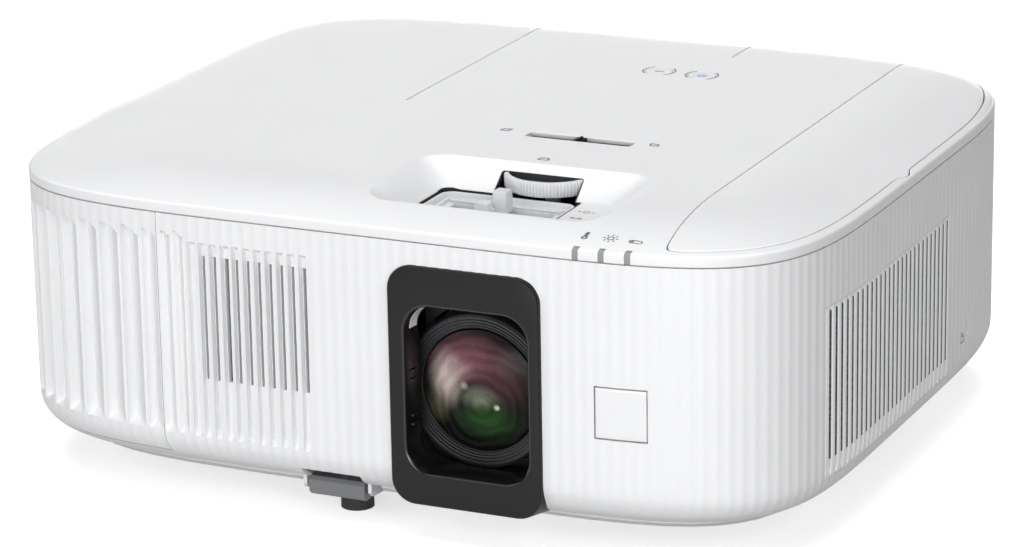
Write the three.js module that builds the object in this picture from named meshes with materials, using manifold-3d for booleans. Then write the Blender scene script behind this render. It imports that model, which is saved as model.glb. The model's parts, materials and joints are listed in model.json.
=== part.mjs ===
// Home projector, built as separate named sub-parts.
// Millimetres, +Z up, the lens looks along -Y. The origin is on the standing surface, under the
// middle of the case.
import * as THREE from 'three';
import { mergeVertices } from 'three/addons/utils/BufferGeometryUtils.js';
import Module from 'manifold-3d';

const wasm = await Module();
wasm.setup();

// ---- driving dimensions -------------------------------------------------------------------

const gap = 0.3;              // clearance between neighbouring pieces
const wall = 2.5;             // moulded wall of both case halves

const caseWidth = 333;
const caseDepth = 290;
const bezelStand = 2;         // how far the lens bezel stands out of the front
const middleY = bezelStand / 2;
const frontY = middleY - caseDepth / 2;
const rearY = middleY + caseDepth / 2;
const cornerPower = 5.54;     // plan outline: |x/a|^p + |y/b|^p = 1
const outlinePoints = 48;

const crownZ = 124;           // top of the lid
const seamZ = 114;            // line between lid and skirt
const skirtZ = 15.15;         // lower edge of the skirt
const skirtInset = 7.5;       // how far that edge is rolled in
const skirtRoll = 14;         // radius of the roll
const flangeInset = 20;       // inner edge of the skirt's bottom flange
const trayZ = 9.6;            // underside of the base tray
const trayInset = 14.3;
const trayFloor = 3;
const trayTopZ = skirtZ - gap;
const floorZ = trayZ + trayFloor;

const lens = { x: 42, z: 56, barrel: 27, ring: 30.5, glass: 23.1, frontY: -132, dome: 4.5, rim: 6 };
const bezel = { x: 42.25, z: 59.5, width: 60.5, height: 92, radius: 9.5, depth: 10 };
const bezelHole = { x: 42.95, z: 57.75, width: 50.7, height: 65.5, radius: 10, taper: 3 };
const lensHole = { width: 66, height: 78, radius: 10, back: -120 };
const irWindow = { x: 102.7, z: 57.6, size: 19.6 };
const indicators = { x: [86.5, 96.7, 106.5], width: 2.8, reach: 9 };

const recessTop = { x: 38, y: -93, width: 96, depth: 60, radius: 12 };
const recessFloor = { x: 39, y: -98, width: 78, depth: 42, radius: 6 };
const recessZ = 115;
const controlWindow = { x: 31.5, y: -92.5, width: 57, depth: 31, radius: 5 };
const wheel = { x: 40.4, y: -59.8, radius: 18.5, bottom: 115.1, top: 120.9, pinion: 7.7 };
const focusKnob = { x: 32, y: -87.2, width: 6, depth: 6.5, bottom: 111.4, top: 119.6 };
const keystone = { x: 36.4, y: -25, length: 43.3, width: 6.7, knob: 8 };
const buttons = { radius: 6, source: [24.4, 83.6], power: [43.4, 83.1] };
const lampCover = { innerX: 113, frontX: 119, turnY: -69, inset: 4, skin: 2.2 };
const lampHatch = { left: 118, right: 150, front: 20, rear: 118 };   // hole under the lamp cover

const pitch = 4.75;           // spacing of the flutes and the air slots
const slotWidth = 2;
const frontSlots = { count: 10, lastX: -22.7, pitch: 4.69, bottom: 50, top: 98.5 };
const exhaust = { innerX: -85, sideY: -58, bottom: 28, top: 104.5 };
const intake = { front: -94, rear: 35.5, bottom: 25, top: 91 };
const securitySlot = { y: 60, bottom: 34, top: 41, width: 3 };

const panel = { left: -78, right: 96, bottom: 24, top: 88, depth: 8 };
const speakerGrille = { left: -130, right: -88, bottom: 38, top: 84 };

const frontFoot = { x: -14.5, y: -122, leg: 4.2, pad: 6.4, top: 50 };
const lever = { left: -27.6, right: -4.4, front: -136, back: -129.4, bottom: 7.3, top: 14.8 };
const leverPivot = { y: -114, z: 12 };
const footBracket = { cheek: 2.8, side: 0.6, back: -110, roofZ: 18.6, topZ: 20.5, tubeTop: 38, tube: 8 };
const rearFeet = { x: 116, y: 100, stem: 3.8, disc: 9, top: 30 };
const ceilingBoss = { x: 100, y: [-60, 80], radius: 7, hole: 2.1, drop: 0.6, top: 22 };
const baseScrew = { x: 146, y: 60, head: 3.5, shank: 1.5, top: 19 };

const speakerUnit = { x: -109, z: 61, cone: 19, magnet: 10, front: 126, basket: 118, back: 104 };

const fan = { size: 80, depth: 25, bore: 38, blade: 36, hub: 16, blades: 7 };

// ---- geometry helpers ---------------------------------------------------------------------

// A closed three.js geometry as a solid for joining and cutting.
function solid(geometry) {
  const bare = geometry.clone();
  bare.deleteAttribute('normal');
  bare.deleteAttribute('uv');
  const merged = mergeVertices(bare, 1e-4);
  const corners = merged.index.array;
  const point = (i) => new THREE.Vector3().fromBufferAttribute(merged.attributes.position, i);
  const triangles = [];
  let volume = 0;
  for (let i = 0; i < corners.length; i += 3) {
    const [a, b, c] = corners.slice(i, i + 3);
    if (a !== b && b !== c && c !== a) {
      triangles.push(a, b, c);
      volume += point(a).dot(point(b).cross(point(c)));
    }
  }
  if (volume < 0) triangles.reverse();
  return new wasm.Manifold(new wasm.Mesh({
    numProp: 3,
    vertProperties: new Float32Array(merged.attributes.position.array),
    triVerts: new Uint32Array(triangles),
  }));
}

// A loft through sections that have the same number of points, closed at both ends.
function loft(sections) {
  const count = sections[0].points.length;
  const positions = [];
  for (const section of sections) {
    for (const [x, y] of section.points) positions.push(x, y, section.z);
  }
  const index = [];
  for (let ring = 0; ring + 1 < sections.length; ring += 1) {
    for (let i = 0; i < count; i += 1) {
      const a = ring * count + i;
      const b = ring * count + ((i + 1) % count);
      index.push(a, b, b + count, a, b + count, a + count);
    }
  }
  const last = (sections.length - 1) * count;
  for (let i = 1; i + 1 < count; i += 1) {
    index.push(0, i + 1, i);
    index.push(last, last + i, last + i + 1);
  }
  const geometry = new THREE.BufferGeometry();
  geometry.setAttribute('position', new THREE.Float32BufferAttribute(positions, 3));
  geometry.setIndex(index);
  return solid(geometry);
}

// The rounded plan of the case, drawn in by an inset.
function plan(inset) {
  const points = [];
  for (let i = 0; i < outlinePoints; i += 1) {
    const angle = (i + 0.5) / outlinePoints * 2 * Math.PI;
    const c = Math.cos(angle);
    const s = Math.sin(angle);
    const x = (caseWidth / 2 - inset) * Math.sign(c) * Math.abs(c) ** (2 / cornerPower);
    const y = (caseDepth / 2 - inset) * Math.sign(s) * Math.abs(s) ** (2 / cornerPower);
    points.push([x, middleY + y]);
  }
  return points;
}

function caseLoft(profile) {
  return loft(profile.map(([z, inset]) => ({ z, points: plan(inset) })));
}

// A rounded rectangle as a list of points, for lofts.
function roundedPoints({ x, y, width, depth, radius }, grow = 0) {
  const points = [];
  const steps = 4;
  const turns = [[1, 1, 0], [-1, 1, 90], [-1, -1, 180], [1, -1, 270]];
  for (const [sx, sy, start] of turns) {
    for (let i = 0; i <= steps; i += 1) {
      const angle = THREE.MathUtils.degToRad(start + 90 * i / steps);
      points.push([
        x + sx * (width / 2 - radius) + (radius + grow) * Math.cos(angle),
        y + sy * (depth / 2 - radius) + (radius + grow) * Math.sin(angle),
      ]);
    }
  }
  return points;
}

function roundedShape(x, y, width, height, radius) {
  const shape = new THREE.Shape();
  const [left, right, low, high] = [x - width / 2, x + width / 2, y - height / 2, y + height / 2];
  shape.moveTo(left + radius, low);
  shape.lineTo(right - radius, low);
  shape.absarc(right - radius, low + radius, radius, -Math.PI / 2, 0);
  shape.absarc(right - radius, high - radius, radius, 0, Math.PI / 2);
  shape.absarc(left + radius, high - radius, radius, Math.PI / 2, Math.PI);
  shape.absarc(left + radius, low + radius, radius, Math.PI, Math.PI * 1.5);
  return shape;
}

function polygon(points) {
  return new THREE.Shape(points.map(([x, y]) => new THREE.Vector2(x, y)));
}

// Where a shape's own x, y and its extrusion point, for each extrusion axis.
const facing = {
  x: [new THREE.Vector3(0, 1, 0), new THREE.Vector3(0, 0, 1), new THREE.Vector3(1, 0, 0)],
  y: [new THREE.Vector3(1, 0, 0), new THREE.Vector3(0, 0, 1), new THREE.Vector3(0, -1, 0)],
  z: [new THREE.Vector3(1, 0, 0), new THREE.Vector3(0, 1, 0), new THREE.Vector3(0, 0, 1)],
};

// A shape drawn in the plane across an axis and extruded along it from one place to another.
function extrude(shape, axis, from, to, curveSegments = 6) {
  const geometry = new THREE.ExtrudeGeometry(shape, {
    depth: Math.abs(to - from),
    bevelEnabled: false,
    curveSegments,
  });
  geometry.applyMatrix4(new THREE.Matrix4().makeBasis(...facing[axis]));
  const start = axis === 'y' ? Math.max(from, to) : Math.min(from, to);
  const shift = new THREE.Vector3(0, 0, 0);
  shift[axis] = start;
  geometry.translate(shift.x, shift.y, shift.z);
  return solid(geometry);
}

function box(x0, x1, y0, y1, z0, z1) {
  const geometry = new THREE.BoxGeometry(x1 - x0, y1 - y0, z1 - z0);
  geometry.translate((x0 + x1) / 2, (y0 + y1) / 2, (z0 + z1) / 2);
  return solid(geometry);
}

// A cylinder along an axis; u and v are its other two coordinates, in x, y, z order.
function rod(axis, u, v, radius, from, to, sides = 16) {
  const points = [];
  for (let i = 0; i < sides; i += 1) {
    const angle = i / sides * 2 * Math.PI;
    points.push([u + radius * Math.cos(angle), v + radius * Math.sin(angle)]);
  }
  return extrude(polygon(points), axis, from, to);
}

function ring(axis, u, v, outer, inner, from, to, sides = 28) {
  return rod(axis, u, v, outer, from, to, sides).subtract(rod(axis, u, v, inner, from - 1, to + 1, sides));
}

// A turned piece round the lens axis from (radius, y) points.
function turned(points, sides = 28) {
  const profile = points.map(([radius, y]) => new THREE.Vector2(radius, y));
  const geometry = new THREE.LatheGeometry(profile, sides);
  geometry.translate(lens.x, 0, lens.z);
  return solid(geometry);
}

function join(pieces) {
  return pieces.reduce((whole, piece) => whole.add(piece));
}

function cut(body, pieces) {
  return pieces.reduce((rest, piece) => rest.subtract(piece), body);
}

// ---- materials and assembly ---------------------------------------------------------------

const projector = new THREE.Group();

const finishes = {
  white: { color: 0xe4e5e7, roughness: 0.45, metalness: 0 },
  trayWhite: { color: 0xcfd1d4, roughness: 0.5, metalness: 0 },
  charcoal: { color: 0x2b2b2d, roughness: 0.4, metalness: 0 },
  black: { color: 0x151517, roughness: 0.5, metalness: 0 },
  midGrey: { color: 0x6e6f73, roughness: 0.45, metalness: 0 },
  indicator: { color: 0xb5b6b8, roughness: 0.3, metalness: 0 },
  irRed: { color: 0xe9e9ec, roughness: 0.15, metalness: 0 },
  glass: { color: 0x3a2a4a, roughness: 0.05, metalness: 0 },
  rubber: { color: 0x1b1b1c, roughness: 0.8, metalness: 0 },
  board: { color: 0x1f5a35, roughness: 0.6, metalness: 0 },
  metal: { color: 0xb9bbbd, roughness: 0.3, metalness: 1 },
  filter: { color: 0x5c5f63, roughness: 0.95, metalness: 0 },
};

function add(name, body, finish) {
  const data = body.getMesh();
  const geometry = new THREE.BufferGeometry();
  geometry.setAttribute('position', new THREE.Float32BufferAttribute(data.vertProperties, 3));
  geometry.setIndex(new THREE.BufferAttribute(data.triVerts, 1));
  const piece = new THREE.Mesh(geometry, new THREE.MeshStandardMaterial(finishes[finish]));
  piece.name = name;
  projector.add(piece);
}

// ---- the outer forms of the case ----------------------------------------------------------

const lidProfile = [
  [seamZ + gap / 2, 0], [118, 0.6], [120.6, 2.6], [122.6, 7.2], [123.6, 14], [crownZ, 28],
];
const lowered = (profile, drop) => profile.map(([z, inset]) => [z - drop, inset]);

// The roll at the skirt's foot, from the lower edge up to the vertical wall.
function skirtProfile(inward) {
  const last = Math.acos(1 - skirtInset / skirtRoll);
  const rollTop = skirtZ + skirtRoll * Math.sin(last);
  const steps = 5;
  const profile = [];
  for (let i = 0; i <= steps; i += 1) {
    const angle = last * (1 - i / steps);
    profile.push([
      rollTop - (skirtRoll - inward) * Math.sin(angle),
      inward + (skirtRoll - inward) * (1 - Math.cos(angle)),
    ]);
  }
  return profile;
}

function lidOuter(drop) {
  return caseLoft(lowered(lidProfile, drop));
}

function skirtShell() {
  const outer = caseLoft([...skirtProfile(0), [seamZ - gap / 2, 0]]);
  const inner = caseLoft([...skirtProfile(wall), [seamZ + 1, wall]]);
  const flange = caseLoft([[skirtZ, skirtInset + wall], [skirtZ + wall, skirtInset + wall]]);
  const opening = caseLoft([[skirtZ - 1, flangeInset], [skirtZ + wall + 1, flangeInset]]);
  return outer.subtract(inner).add(flange).subtract(opening);
}

// ---- lid ------------------------------------------------------------------------------------

// The lamp cover's plan: the inner edge runs forward, bends out, and meets the case outline.
function lampRegion(grow) {
  const reach = caseWidth;
  const edge = [];
  const steps = 8;
  for (let i = 0; i <= steps; i += 1) {
    const t = i / steps;
    const y = lampCover.turnY + t * (frontY - lampCover.turnY);
    edge.push([lampCover.innerX - grow + (lampCover.frontX - lampCover.innerX) * t * t, y]);
  }
  const outline = [[lampCover.innerX - grow, rearY], ...edge, [reach, frontY], [reach, rearY]];
  const side = extrude(polygon(outline), 'z', seamZ, crownZ + 2);
  const inner = caseLoft([
    [seamZ, lampCover.inset - grow],
    [crownZ + 2, lampCover.inset - grow],
  ]);
  return side.intersect(inner);
}

function makeLid() {
  const { skin } = lampCover;
  const coverPocket = lampRegion(gap).subtract(lidOuter(skin + gap));
  const inside = caseLoft([
    [seamZ - 4, wall], [117, wall + 0.5], [120, 8], [crownZ - wall, 18],
  ]);
  const underLedge = caseLoft([
    [seamZ - 5, wall - 0.5], [115, wall + 0.6], [117.6, 8.2], [119.2, 19],
  ]);
  const ledge = lampRegion(skin + gap).subtract(underLedge);
  const pocketWall = loft([
    { z: recessZ - 2, points: roundedPoints(recessFloor, 2) },
    { z: 122, points: roundedPoints(recessTop, 2) },
  ]);
  const pocket = loft([
    { z: recessZ, points: roundedPoints(recessFloor) },
    { z: crownZ + 0.5, points: roundedPoints(recessTop) },
  ]);
  const { x, y, width, depth, radius } = controlWindow;
  const keyRadius = keystone.width / 2 - 0.05;
  const openings = [
    pocket,
    extrude(roundedShape(x, y, width, depth, radius), 'z', recessZ - 5, recessZ + 3),
    rod('z', wheel.x, wheel.y, wheel.radius + 0.6, wheel.bottom - 0.5, wheel.top + 0.4, 28),
    rod('z', ...buttons.source, buttons.radius, seamZ, crownZ + 1),
    rod('z', ...buttons.power, buttons.radius, seamZ, crownZ + 1),
    extrude(
      roundedShape(keystone.x, keystone.y, keystone.length, keystone.width, keyRadius),
      'z', seamZ, crownZ + 1,
    ),
    box(lampHatch.left, lampHatch.right, lampHatch.front, lampHatch.rear, seamZ - 2, crownZ),
    ...indicators.x.map((at) => indicatorSlot(at, indicators.width / 2 + 0.15, indicators.reach + 0.15)),
  ];
  const shell = lidOuter(0).subtract(coverPocket).subtract(inside.subtract(ledge));
  return cut(shell.add(pocketWall), openings);
}

function indicatorSlot(x, half, reach) {
  return box(x - half, x + half, frontY - 1, frontY + reach, seamZ, crownZ);
}

function makeIndicator(x) {
  const skin = lidOuter(0).subtract(lidOuter(1.6).intersect(caseLoft([[100, 1.8], [130, 1.8]])));
  const strip = skin.intersect(indicatorSlot(x, indicators.width / 2, indicators.reach));
  return strip.intersect(box(x - 5, x + 5, frontY - 1, 0, seamZ + gap, crownZ));
}

add('upper_case', makeLid(), 'white');
add('lamp_cover', lidOuter(0).intersect(lampRegion(0)).subtract(lidOuter(lampCover.skin)), 'white');
['power', 'lamp', 'temperature'].forEach((name, i) => {
  add(`${name}_indicator`, makeIndicator(indicators.x[i]), 'indicator');
});

// ---- skirt ----------------------------------------------------------------------------------

const grilleRegion = (grow) => box(
  -caseWidth, exhaust.innerX + grow, -caseDepth, exhaust.sideY + grow,
  exhaust.bottom - grow, exhaust.top + grow,
);
const intakeRegion = (grow) => box(
  140, caseWidth, intake.front - grow, intake.rear + grow, intake.bottom - grow, intake.top + grow,
);
const panelHole = (grow) => extrude(
  roundedShape(
    (panel.left + panel.right) / 2, (panel.bottom + panel.top) / 2,
    panel.right - panel.left + 2 * grow, panel.top - panel.bottom + 2 * grow, 6 + grow,
  ),
  'y', rearY - 20, rearY + 5,
);
const speakerRegion = (grow) => box(
  speakerGrille.left - grow, speakerGrille.right + grow, 60, rearY + 5,
  speakerGrille.bottom - grow, speakerGrille.top + grow,
);

function bezelOutline(grow) {
  return roundedShape(
    bezel.x, bezel.z, bezel.width + 2 * grow, bezel.height + 2 * grow, bezel.radius + grow,
  );
}

// The hole in skirt and base that the front foot's bracket fills.
const footNotch = () => box(
  lever.left - footBracket.side - footBracket.cheek - gap,
  lever.right + footBracket.side + footBracket.cheek + 2 * gap,
  lever.front - 3 * gap, footBracket.back + gap, trayZ - 1, footBracket.topZ + 0.4,
);

function makeSkirt() {
  const slots = [];
  for (let i = 0; i < frontSlots.count; i += 1) {
    const x = frontSlots.lastX - i * frontSlots.pitch;
    slots.push(box(
      x - slotWidth / 2, x + slotWidth / 2, frontY - 1, frontY + 12, frontSlots.bottom, frontSlots.top,
    ));
  }
  const half = irWindow.size / 2 + gap;
  const screwHoles = [-1, 1].flatMap((sx) => [-1, 1].map((sy) => rod(
    'z', sx * baseScrew.x, sy * baseScrew.y, baseScrew.shank + gap, skirtZ - 1, skirtZ + 5, 8,
  )));
  return cut(skirtShell(), [
    ...slots,
    ...screwHoles,
    grilleRegion(gap),
    intakeRegion(gap),
    panelHole(gap),
    speakerRegion(gap),
    footNotch(),
    extrude(bezelOutline(gap), 'y', frontY - bezelStand - 1, frontY - bezelStand + bezel.depth + gap),
    extrude(roundedShape(lens.x, lens.z, lensHole.width, lensHole.height, lensHole.radius), 'y',
      frontY, lensHole.back),
    box(irWindow.x - half, irWindow.x + half, frontY - 1, frontY + 6, irWindow.z - half, irWindow.z + half),
    box(
      150, 170, securitySlot.y - securitySlot.width / 2, securitySlot.y + securitySlot.width / 2,
      securitySlot.bottom, securitySlot.top,
    ),
  ]);
}

function makeExhaustGrille() {
  const cuts = [];
  for (let i = 0; i < 5; i += 1) {
    const x = exhaust.innerX - 8 - i * 2 * pitch;
    cuts.push(box(x - 2, x + 2, -caseDepth, frontY + 40, exhaust.bottom + 4, exhaust.top - 4));
  }
  for (let i = 0; i < 6; i += 1) {
    const y = exhaust.sideY - 8 - i * 2 * pitch;
    cuts.push(box(-caseWidth, -140, y - 2, y + 2, exhaust.bottom + 4, exhaust.top - 4));
  }
  return cut(skirtShell().intersect(grilleRegion(0)), cuts);
}

function makeIntakeGrille() {
  const cuts = [];
  const count = Math.floor((intake.rear - intake.front - 6) / pitch);
  const start = (intake.front + intake.rear - (count - 1) * pitch) / 2;
  for (let i = 0; i < count; i += 1) {
    const y = start + i * pitch;
    cuts.push(box(140, caseWidth, y - 1.3, y + 1.3, intake.bottom + 4, intake.top - 4));
  }
  return cut(skirtShell().intersect(intakeRegion(0)), cuts);
}

function makeSpeakerGrille() {
  const cuts = [];
  for (let i = 0; i < 8; i += 1) {
    const x = speakerGrille.left + 4.5 + i * pitch;
    cuts.push(box(x - 1, x + 1, 60, rearY + 5, speakerGrille.bottom + 4, speakerGrille.top - 4));
  }
  return cut(skirtShell().intersect(speakerRegion(0)), cuts);
}

add('lower_case', makeSkirt(), 'white');
add('exhaust_grille', makeExhaustGrille(), 'white');
add('air_filter_cover', makeIntakeGrille(), 'white');
add('air_filter', makeAirFilter(), 'filter');
add('speaker_grille', makeSpeakerGrille(), 'white');
add('front_infrared_window', box(
  irWindow.x - irWindow.size / 2, irWindow.x + irWindow.size / 2, frontY + 0.2, frontY + 2.4,
  irWindow.z - irWindow.size / 2, irWindow.z + irWindow.size / 2,
), 'irRed');

function makeAirFilter() {
  const [x0, x1] = [152, 160];
  const frame = box(x0, x1, -84, 28, intake.bottom + 3, intake.top - 3);
  const pockets = [];
  for (let i = 0; i < 9; i += 1) {
    const y = -79 + i * 11.6;
    pockets.push(box(x0 - 1, x1 - 2.5, y, y + 9, intake.bottom + 7, intake.top - 7));
  }
  return cut(frame, pockets);
}

// ---- lens bezel and lens ----------------------------------------------------------------------

function makeBezel() {
  const front = frontY - bezelStand;
  const slab = extrude(bezelOutline(0), 'y', front, front + bezel.depth);
  const { x, z, width, height, radius } = bezelHole;
  const sections = [[front - 1, 0.5], [front, 0], [front + bezel.depth + 1, -bezelHole.taper]];
  const well = loft(sections.map(([y, grow]) => ({
    z: -y,
    points: roundedPoints({ x, y: z, width, depth: height, radius }, grow),
  })));
  return slab.subtract(well.rotate([90, 0, 0]));
}

function makeFocusRing() {
  const { barrel, ring: outer } = lens;
  const body = ring('y', lens.x, lens.z, outer, barrel + gap, -117.5, -84);
  const fork = [
    box(23.5, 26.5, -90, -85, lens.z + 24.5, 103),
    box(37, 40, -90, -85, lens.z + 28.5, 103),
  ];
  return join([body, ...fork]);
}

function makeLensCell() {
  const { frontY: y, ring: outer, glass, rim } = lens;
  const seat = y + 1 + rim + gap;
  return turned([
    [glass - 1, y + 14], [glass - 1, seat], [glass + gap, seat], [glass + gap, y + 1.4],
    [25.4, y + 1.4], [25.4, y + 0.7], [28, y + 0.7], [28, y],
    [outer - 0.6, y], [outer - 0.6, y + 14], [glass - 1, y + 14],
  ]);
}

// A lens element with a domed front, from the place of its rim.
function makeElement(radius, rimY, dome, thickness) {
  const points = [[0, rimY - dome]];
  const steps = 3;
  for (let i = 1; i <= steps; i += 1) {
    const r = radius * i / steps;
    points.push([r, rimY - dome * (1 - (i / steps) ** 2)]);
  }
  points.push([radius, rimY + thickness], [0, rimY + thickness]);
  return turned(points, 20);
}

function makeBarrel() {
  const { x, z, barrel } = lens;
  return join([
    ring('y', x, z, barrel, barrel - 3, -117, -20),
    ring('y', x, z, barrel + 9, barrel - 3, -24, -20),
  ]);
}

const zoomRing = { front: -83.5, rear: -68, outer: 33 };

function makeZoomWheel() {
  return join([
    rod('z', wheel.x, wheel.y, wheel.radius, wheel.bottom, wheel.top, 28),
    rod('z', wheel.x, wheel.y, 3, 88, wheel.bottom + 1, 12),
    rod('z', wheel.x, wheel.y, wheel.pinion, 84, 89),
  ]);
}

add('lens_bezel', makeBezel(), 'charcoal');
add('lens_barrel', makeBarrel(), 'black');
add('focus_ring', makeFocusRing(), 'black');
add('front_lens_cell', makeLensCell(), 'black');
add('front_lens_element', makeElement(lens.glass, lens.frontY + 1, lens.dome, lens.rim), 'glass');
add('rear_lens_element', makeElement(23.6, -30, 4, 5), 'glass');
add('zoom_ring', join([
  ring('y', lens.x, lens.z, lens.ring, lens.barrel + gap, zoomRing.front, zoomRing.rear - 4),
  ring('y', lens.x, lens.z, zoomRing.outer, lens.barrel + gap, zoomRing.rear - 4.5, zoomRing.rear),
]), 'black');

// ---- controls -----------------------------------------------------------------------------

function makeControlTray() {
  const { x, y, width, depth, radius } = controlWindow;
  const outer = roundedShape(x, y, width - 2 * gap, depth - 2 * gap, radius);
  const inner = roundedShape(x, y, width - 2 * gap - 4, depth - 2 * gap - 4, radius - 2);
  const body = extrude(outer, 'z', 108.5, 114.7).subtract(extrude(inner, 'z', 111, 116));
  const slot = box(x - 24, x + 25, focusKnob.y - 3, focusKnob.y + 3, 100, 112);
  return body.subtract(slot);
}

function makeFocusLever() {
  const { x, y, width, depth, bottom, top } = focusKnob;
  return join([
    box(x - width / 2, x + width / 2, y - depth / 2, y + depth / 2, bottom, top),
    box(x - 8, x - 2.5, y - 8, y - 2, bottom, bottom + 4.5),
    box(x - 1.5, x + 1.5, y - 1.5, y + 1.5, 93, bottom + 1),
  ]);
}

function makeButton([x, y]) {
  return join([
    rod('z', x, y, buttons.radius - gap, 119.4, crownZ),
    rod('z', x, y, buttons.radius + 1.2, 119.2, 121),
  ]);
}

function makeKeystoneSlider() {
  const { x, y, knob, width } = keystone;
  return join([
    box(x - knob / 2, x + knob / 2, y - width / 2 + 0.6, y + width / 2 - 0.6, 120, crownZ),
    box(x - 14, x + 14, y - 6, y + 6, 118.8, 121),
  ]);
}

add('control_tray', makeControlTray(), 'trayWhite');
add('focus_lever', makeFocusLever(), 'trayWhite');
add('zoom_thumbwheel', makeZoomWheel(), 'trayWhite');
add('source_button', makeButton(buttons.source), 'white');
add('power_button', makeButton(buttons.power), 'white');
add('keystone_slider', makeKeystoneSlider(), 'midGrey');
add('button_board', join([
  box(8, 60, 70, 98, 113, 114.6),
  ...[buttons.source, buttons.power].map(([x, y]) => box(x - 3, x + 3, y - 3, y + 3, 114, 118.2)),
]), 'board');

// ---- base and feet ------------------------------------------------------------------------

function makeBase() {
  const outer = caseLoft([[trayZ, trayInset + 2], [trayZ + 2, trayInset], [trayTopZ, trayInset]]);
  const inner = caseLoft([[floorZ, trayInset + 3], [trayTopZ + 1, trayInset + 3]]);
  const bosses = [];
  const holes = [footNotch()];
  for (const sx of [-1, 1]) {
    for (const y of ceilingBoss.y) {
      const { x, radius, hole, drop, top } = ceilingBoss;
      bosses.push(rod('z', sx * x, y, radius, trayZ - drop, top));
      holes.push(rod('z', sx * x, y, hole, trayZ - drop - 1, top - 2, 10));
    }
    for (const sy of [-1, 1]) {
      const { x, y, head, shank } = baseScrew;
      bosses.push(rod('z', sx * x, sy * y, 6, trayZ, trayTopZ, 12));
      holes.push(rod('z', sx * x, sy * y, head + gap, trayZ - 1, trayZ + 2.4, 12));
      holes.push(rod('z', sx * x, sy * y, shank + gap, trayZ, trayTopZ + 1, 8));
    }
    bosses.push(rod('z', sx * rearFeet.x, rearFeet.y, 8, trayZ, 26));
    holes.push(rod('z', sx * rearFeet.x, rearFeet.y, rearFeet.stem + 0.4, trayZ - 1, 27));
  }
  return cut(outer.subtract(inner).add(join(bosses)), holes);
}

function makeScrew(x, y) {
  const { head, shank, top } = baseScrew;
  return join([
    rod('z', x, y, head, trayZ + 0.3, trayZ + 2.1, 12),
    rod('z', x, y, shank, trayZ + 2, top, 8),
  ]).subtract(box(x - 2, x + 2, y - 0.5, y + 0.5, trayZ, trayZ + 1.2));
}

function makeFootBracket() {
  const { left, right, front, bottom } = lever;
  const { cheek, side, back, roofZ, topZ, tube, tubeTop } = footBracket;
  const body = join([
    box(left - side - cheek, left - side, front, back, bottom, topZ),
    box(right + side, right + side + cheek, front, back, bottom, topZ),
    box(left - side - cheek, right + side + cheek, front + 4, back, roofZ, topZ),
    rod('z', frontFoot.x, frontFoot.y, tube, roofZ + 0.4, tubeTop),
  ]);
  return body.subtract(rod('z', frontFoot.x, frontFoot.y, frontFoot.leg + 0.4, 0, tubeTop + 1));
}

function makeFootLever() {
  const { left, right, front, back, bottom, top } = lever;
  const bar = extrude(polygon([
    [front + 1.6, bottom], [back, bottom], [back, top], [front + 1.2, top], [front, top - 1.4],
    [front, bottom + 1.6],
  ]), 'x', left, right);
  const arms = [
    box(left, left + 4, back - 1, leverPivot.y + 3, 9.9, 14.2),
    box(right - 4, right, back - 1, leverPivot.y + 3, 9.9, 14.2),
  ];
  return join([bar, ...arms]);
}

function makeFrontLeg() {
  const { x, y, leg, top } = frontFoot;
  const notches = [];
  for (let i = 0; i < 6; i += 1) {
    notches.push(box(x - 6, x + 6, y + leg - 1, y + leg + 2, 20 + 4.5 * i, 21.8 + 4.5 * i));
  }
  return cut(rod('z', x, y, leg, 3, top), notches);
}

function makeDisc(x, y, radius, top, bore) {
  return rod('z', x, y, radius, 0, top, 20).subtract(rod('z', x, y, bore, 2.7, top + 1));
}

add('base_plate', makeBase(), 'trayWhite');
[['front_left', -1, -1], ['front_right', 1, -1], ['rear_left', -1, 1], ['rear_right', 1, 1]]
  .forEach(([name, sx, sy]) => {
    add(`base_screw_${name}`, makeScrew(sx * baseScrew.x, sy * baseScrew.y), 'metal');
  });
add('front_foot_bracket', makeFootBracket(), 'white');
add('foot_release_lever', makeFootLever(), 'midGrey');
add('front_foot_leg', makeFrontLeg(), 'black');
const frontPad = makeDisc(frontFoot.x, frontFoot.y, frontFoot.pad, 5.4, frontFoot.leg + gap);
add('front_foot_pad', frontPad, 'rubber');
[['left', -1], ['right', 1]].forEach(([name, sx]) => {
  const x = sx * rearFeet.x;
  add(`rear_foot_stem_${name}`, rod('z', x, rearFeet.y, rearFeet.stem, 3, rearFeet.top), 'metal');
  add(`rear_foot_disc_${name}`, makeDisc(x, rearFeet.y, rearFeet.disc, 7, rearFeet.stem + 0.3), 'rubber');
});

// ---- rear terminals -------------------------------------------------------------------------

const sockets = {
  power: { x: 76, z: 50, width: 28, height: 22 },
  hdmi1: { x: 38, z: 44, width: 17, height: 8 },
  hdmi2: { x: 12, z: 44, width: 17, height: 8 },
  usb: { x: -14, z: 44, width: 15, height: 8 },
  audio: { x: -38, z: 44, width: 9, height: 9 },
  infrared: { x: -60, z: 60, width: 16, height: 16 },
};
const panelFace = rearY - panel.depth;

function socketBox({ x, z, width, height }, grow, from, to) {
  const halfWidth = width / 2 + grow;
  const halfHeight = height / 2 + grow;
  return box(x - halfWidth, x + halfWidth, from, to, z - halfHeight, z + halfHeight);
}

function makePanel() {
  const inset = gap;
  const outline = roundedShape(
    (panel.left + panel.right) / 2, (panel.bottom + panel.top) / 2,
    panel.right - panel.left - 2 * inset, panel.top - panel.bottom - 2 * inset, 6,
  );
  const pocket = roundedShape(
    (panel.left + panel.right) / 2, (panel.bottom + panel.top) / 2,
    panel.right - panel.left - 6, panel.top - panel.bottom - 6, 4,
  );
  const body = extrude(outline, 'y', panelFace - 2, rearY - 0.8);
  const holes = Object.values(sockets).map((socket) => socketBox(socket, gap, panelFace - 5, rearY + 1));
  return cut(body, [extrude(pocket, 'y', panelFace, rearY + 1), ...holes]);
}

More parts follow.
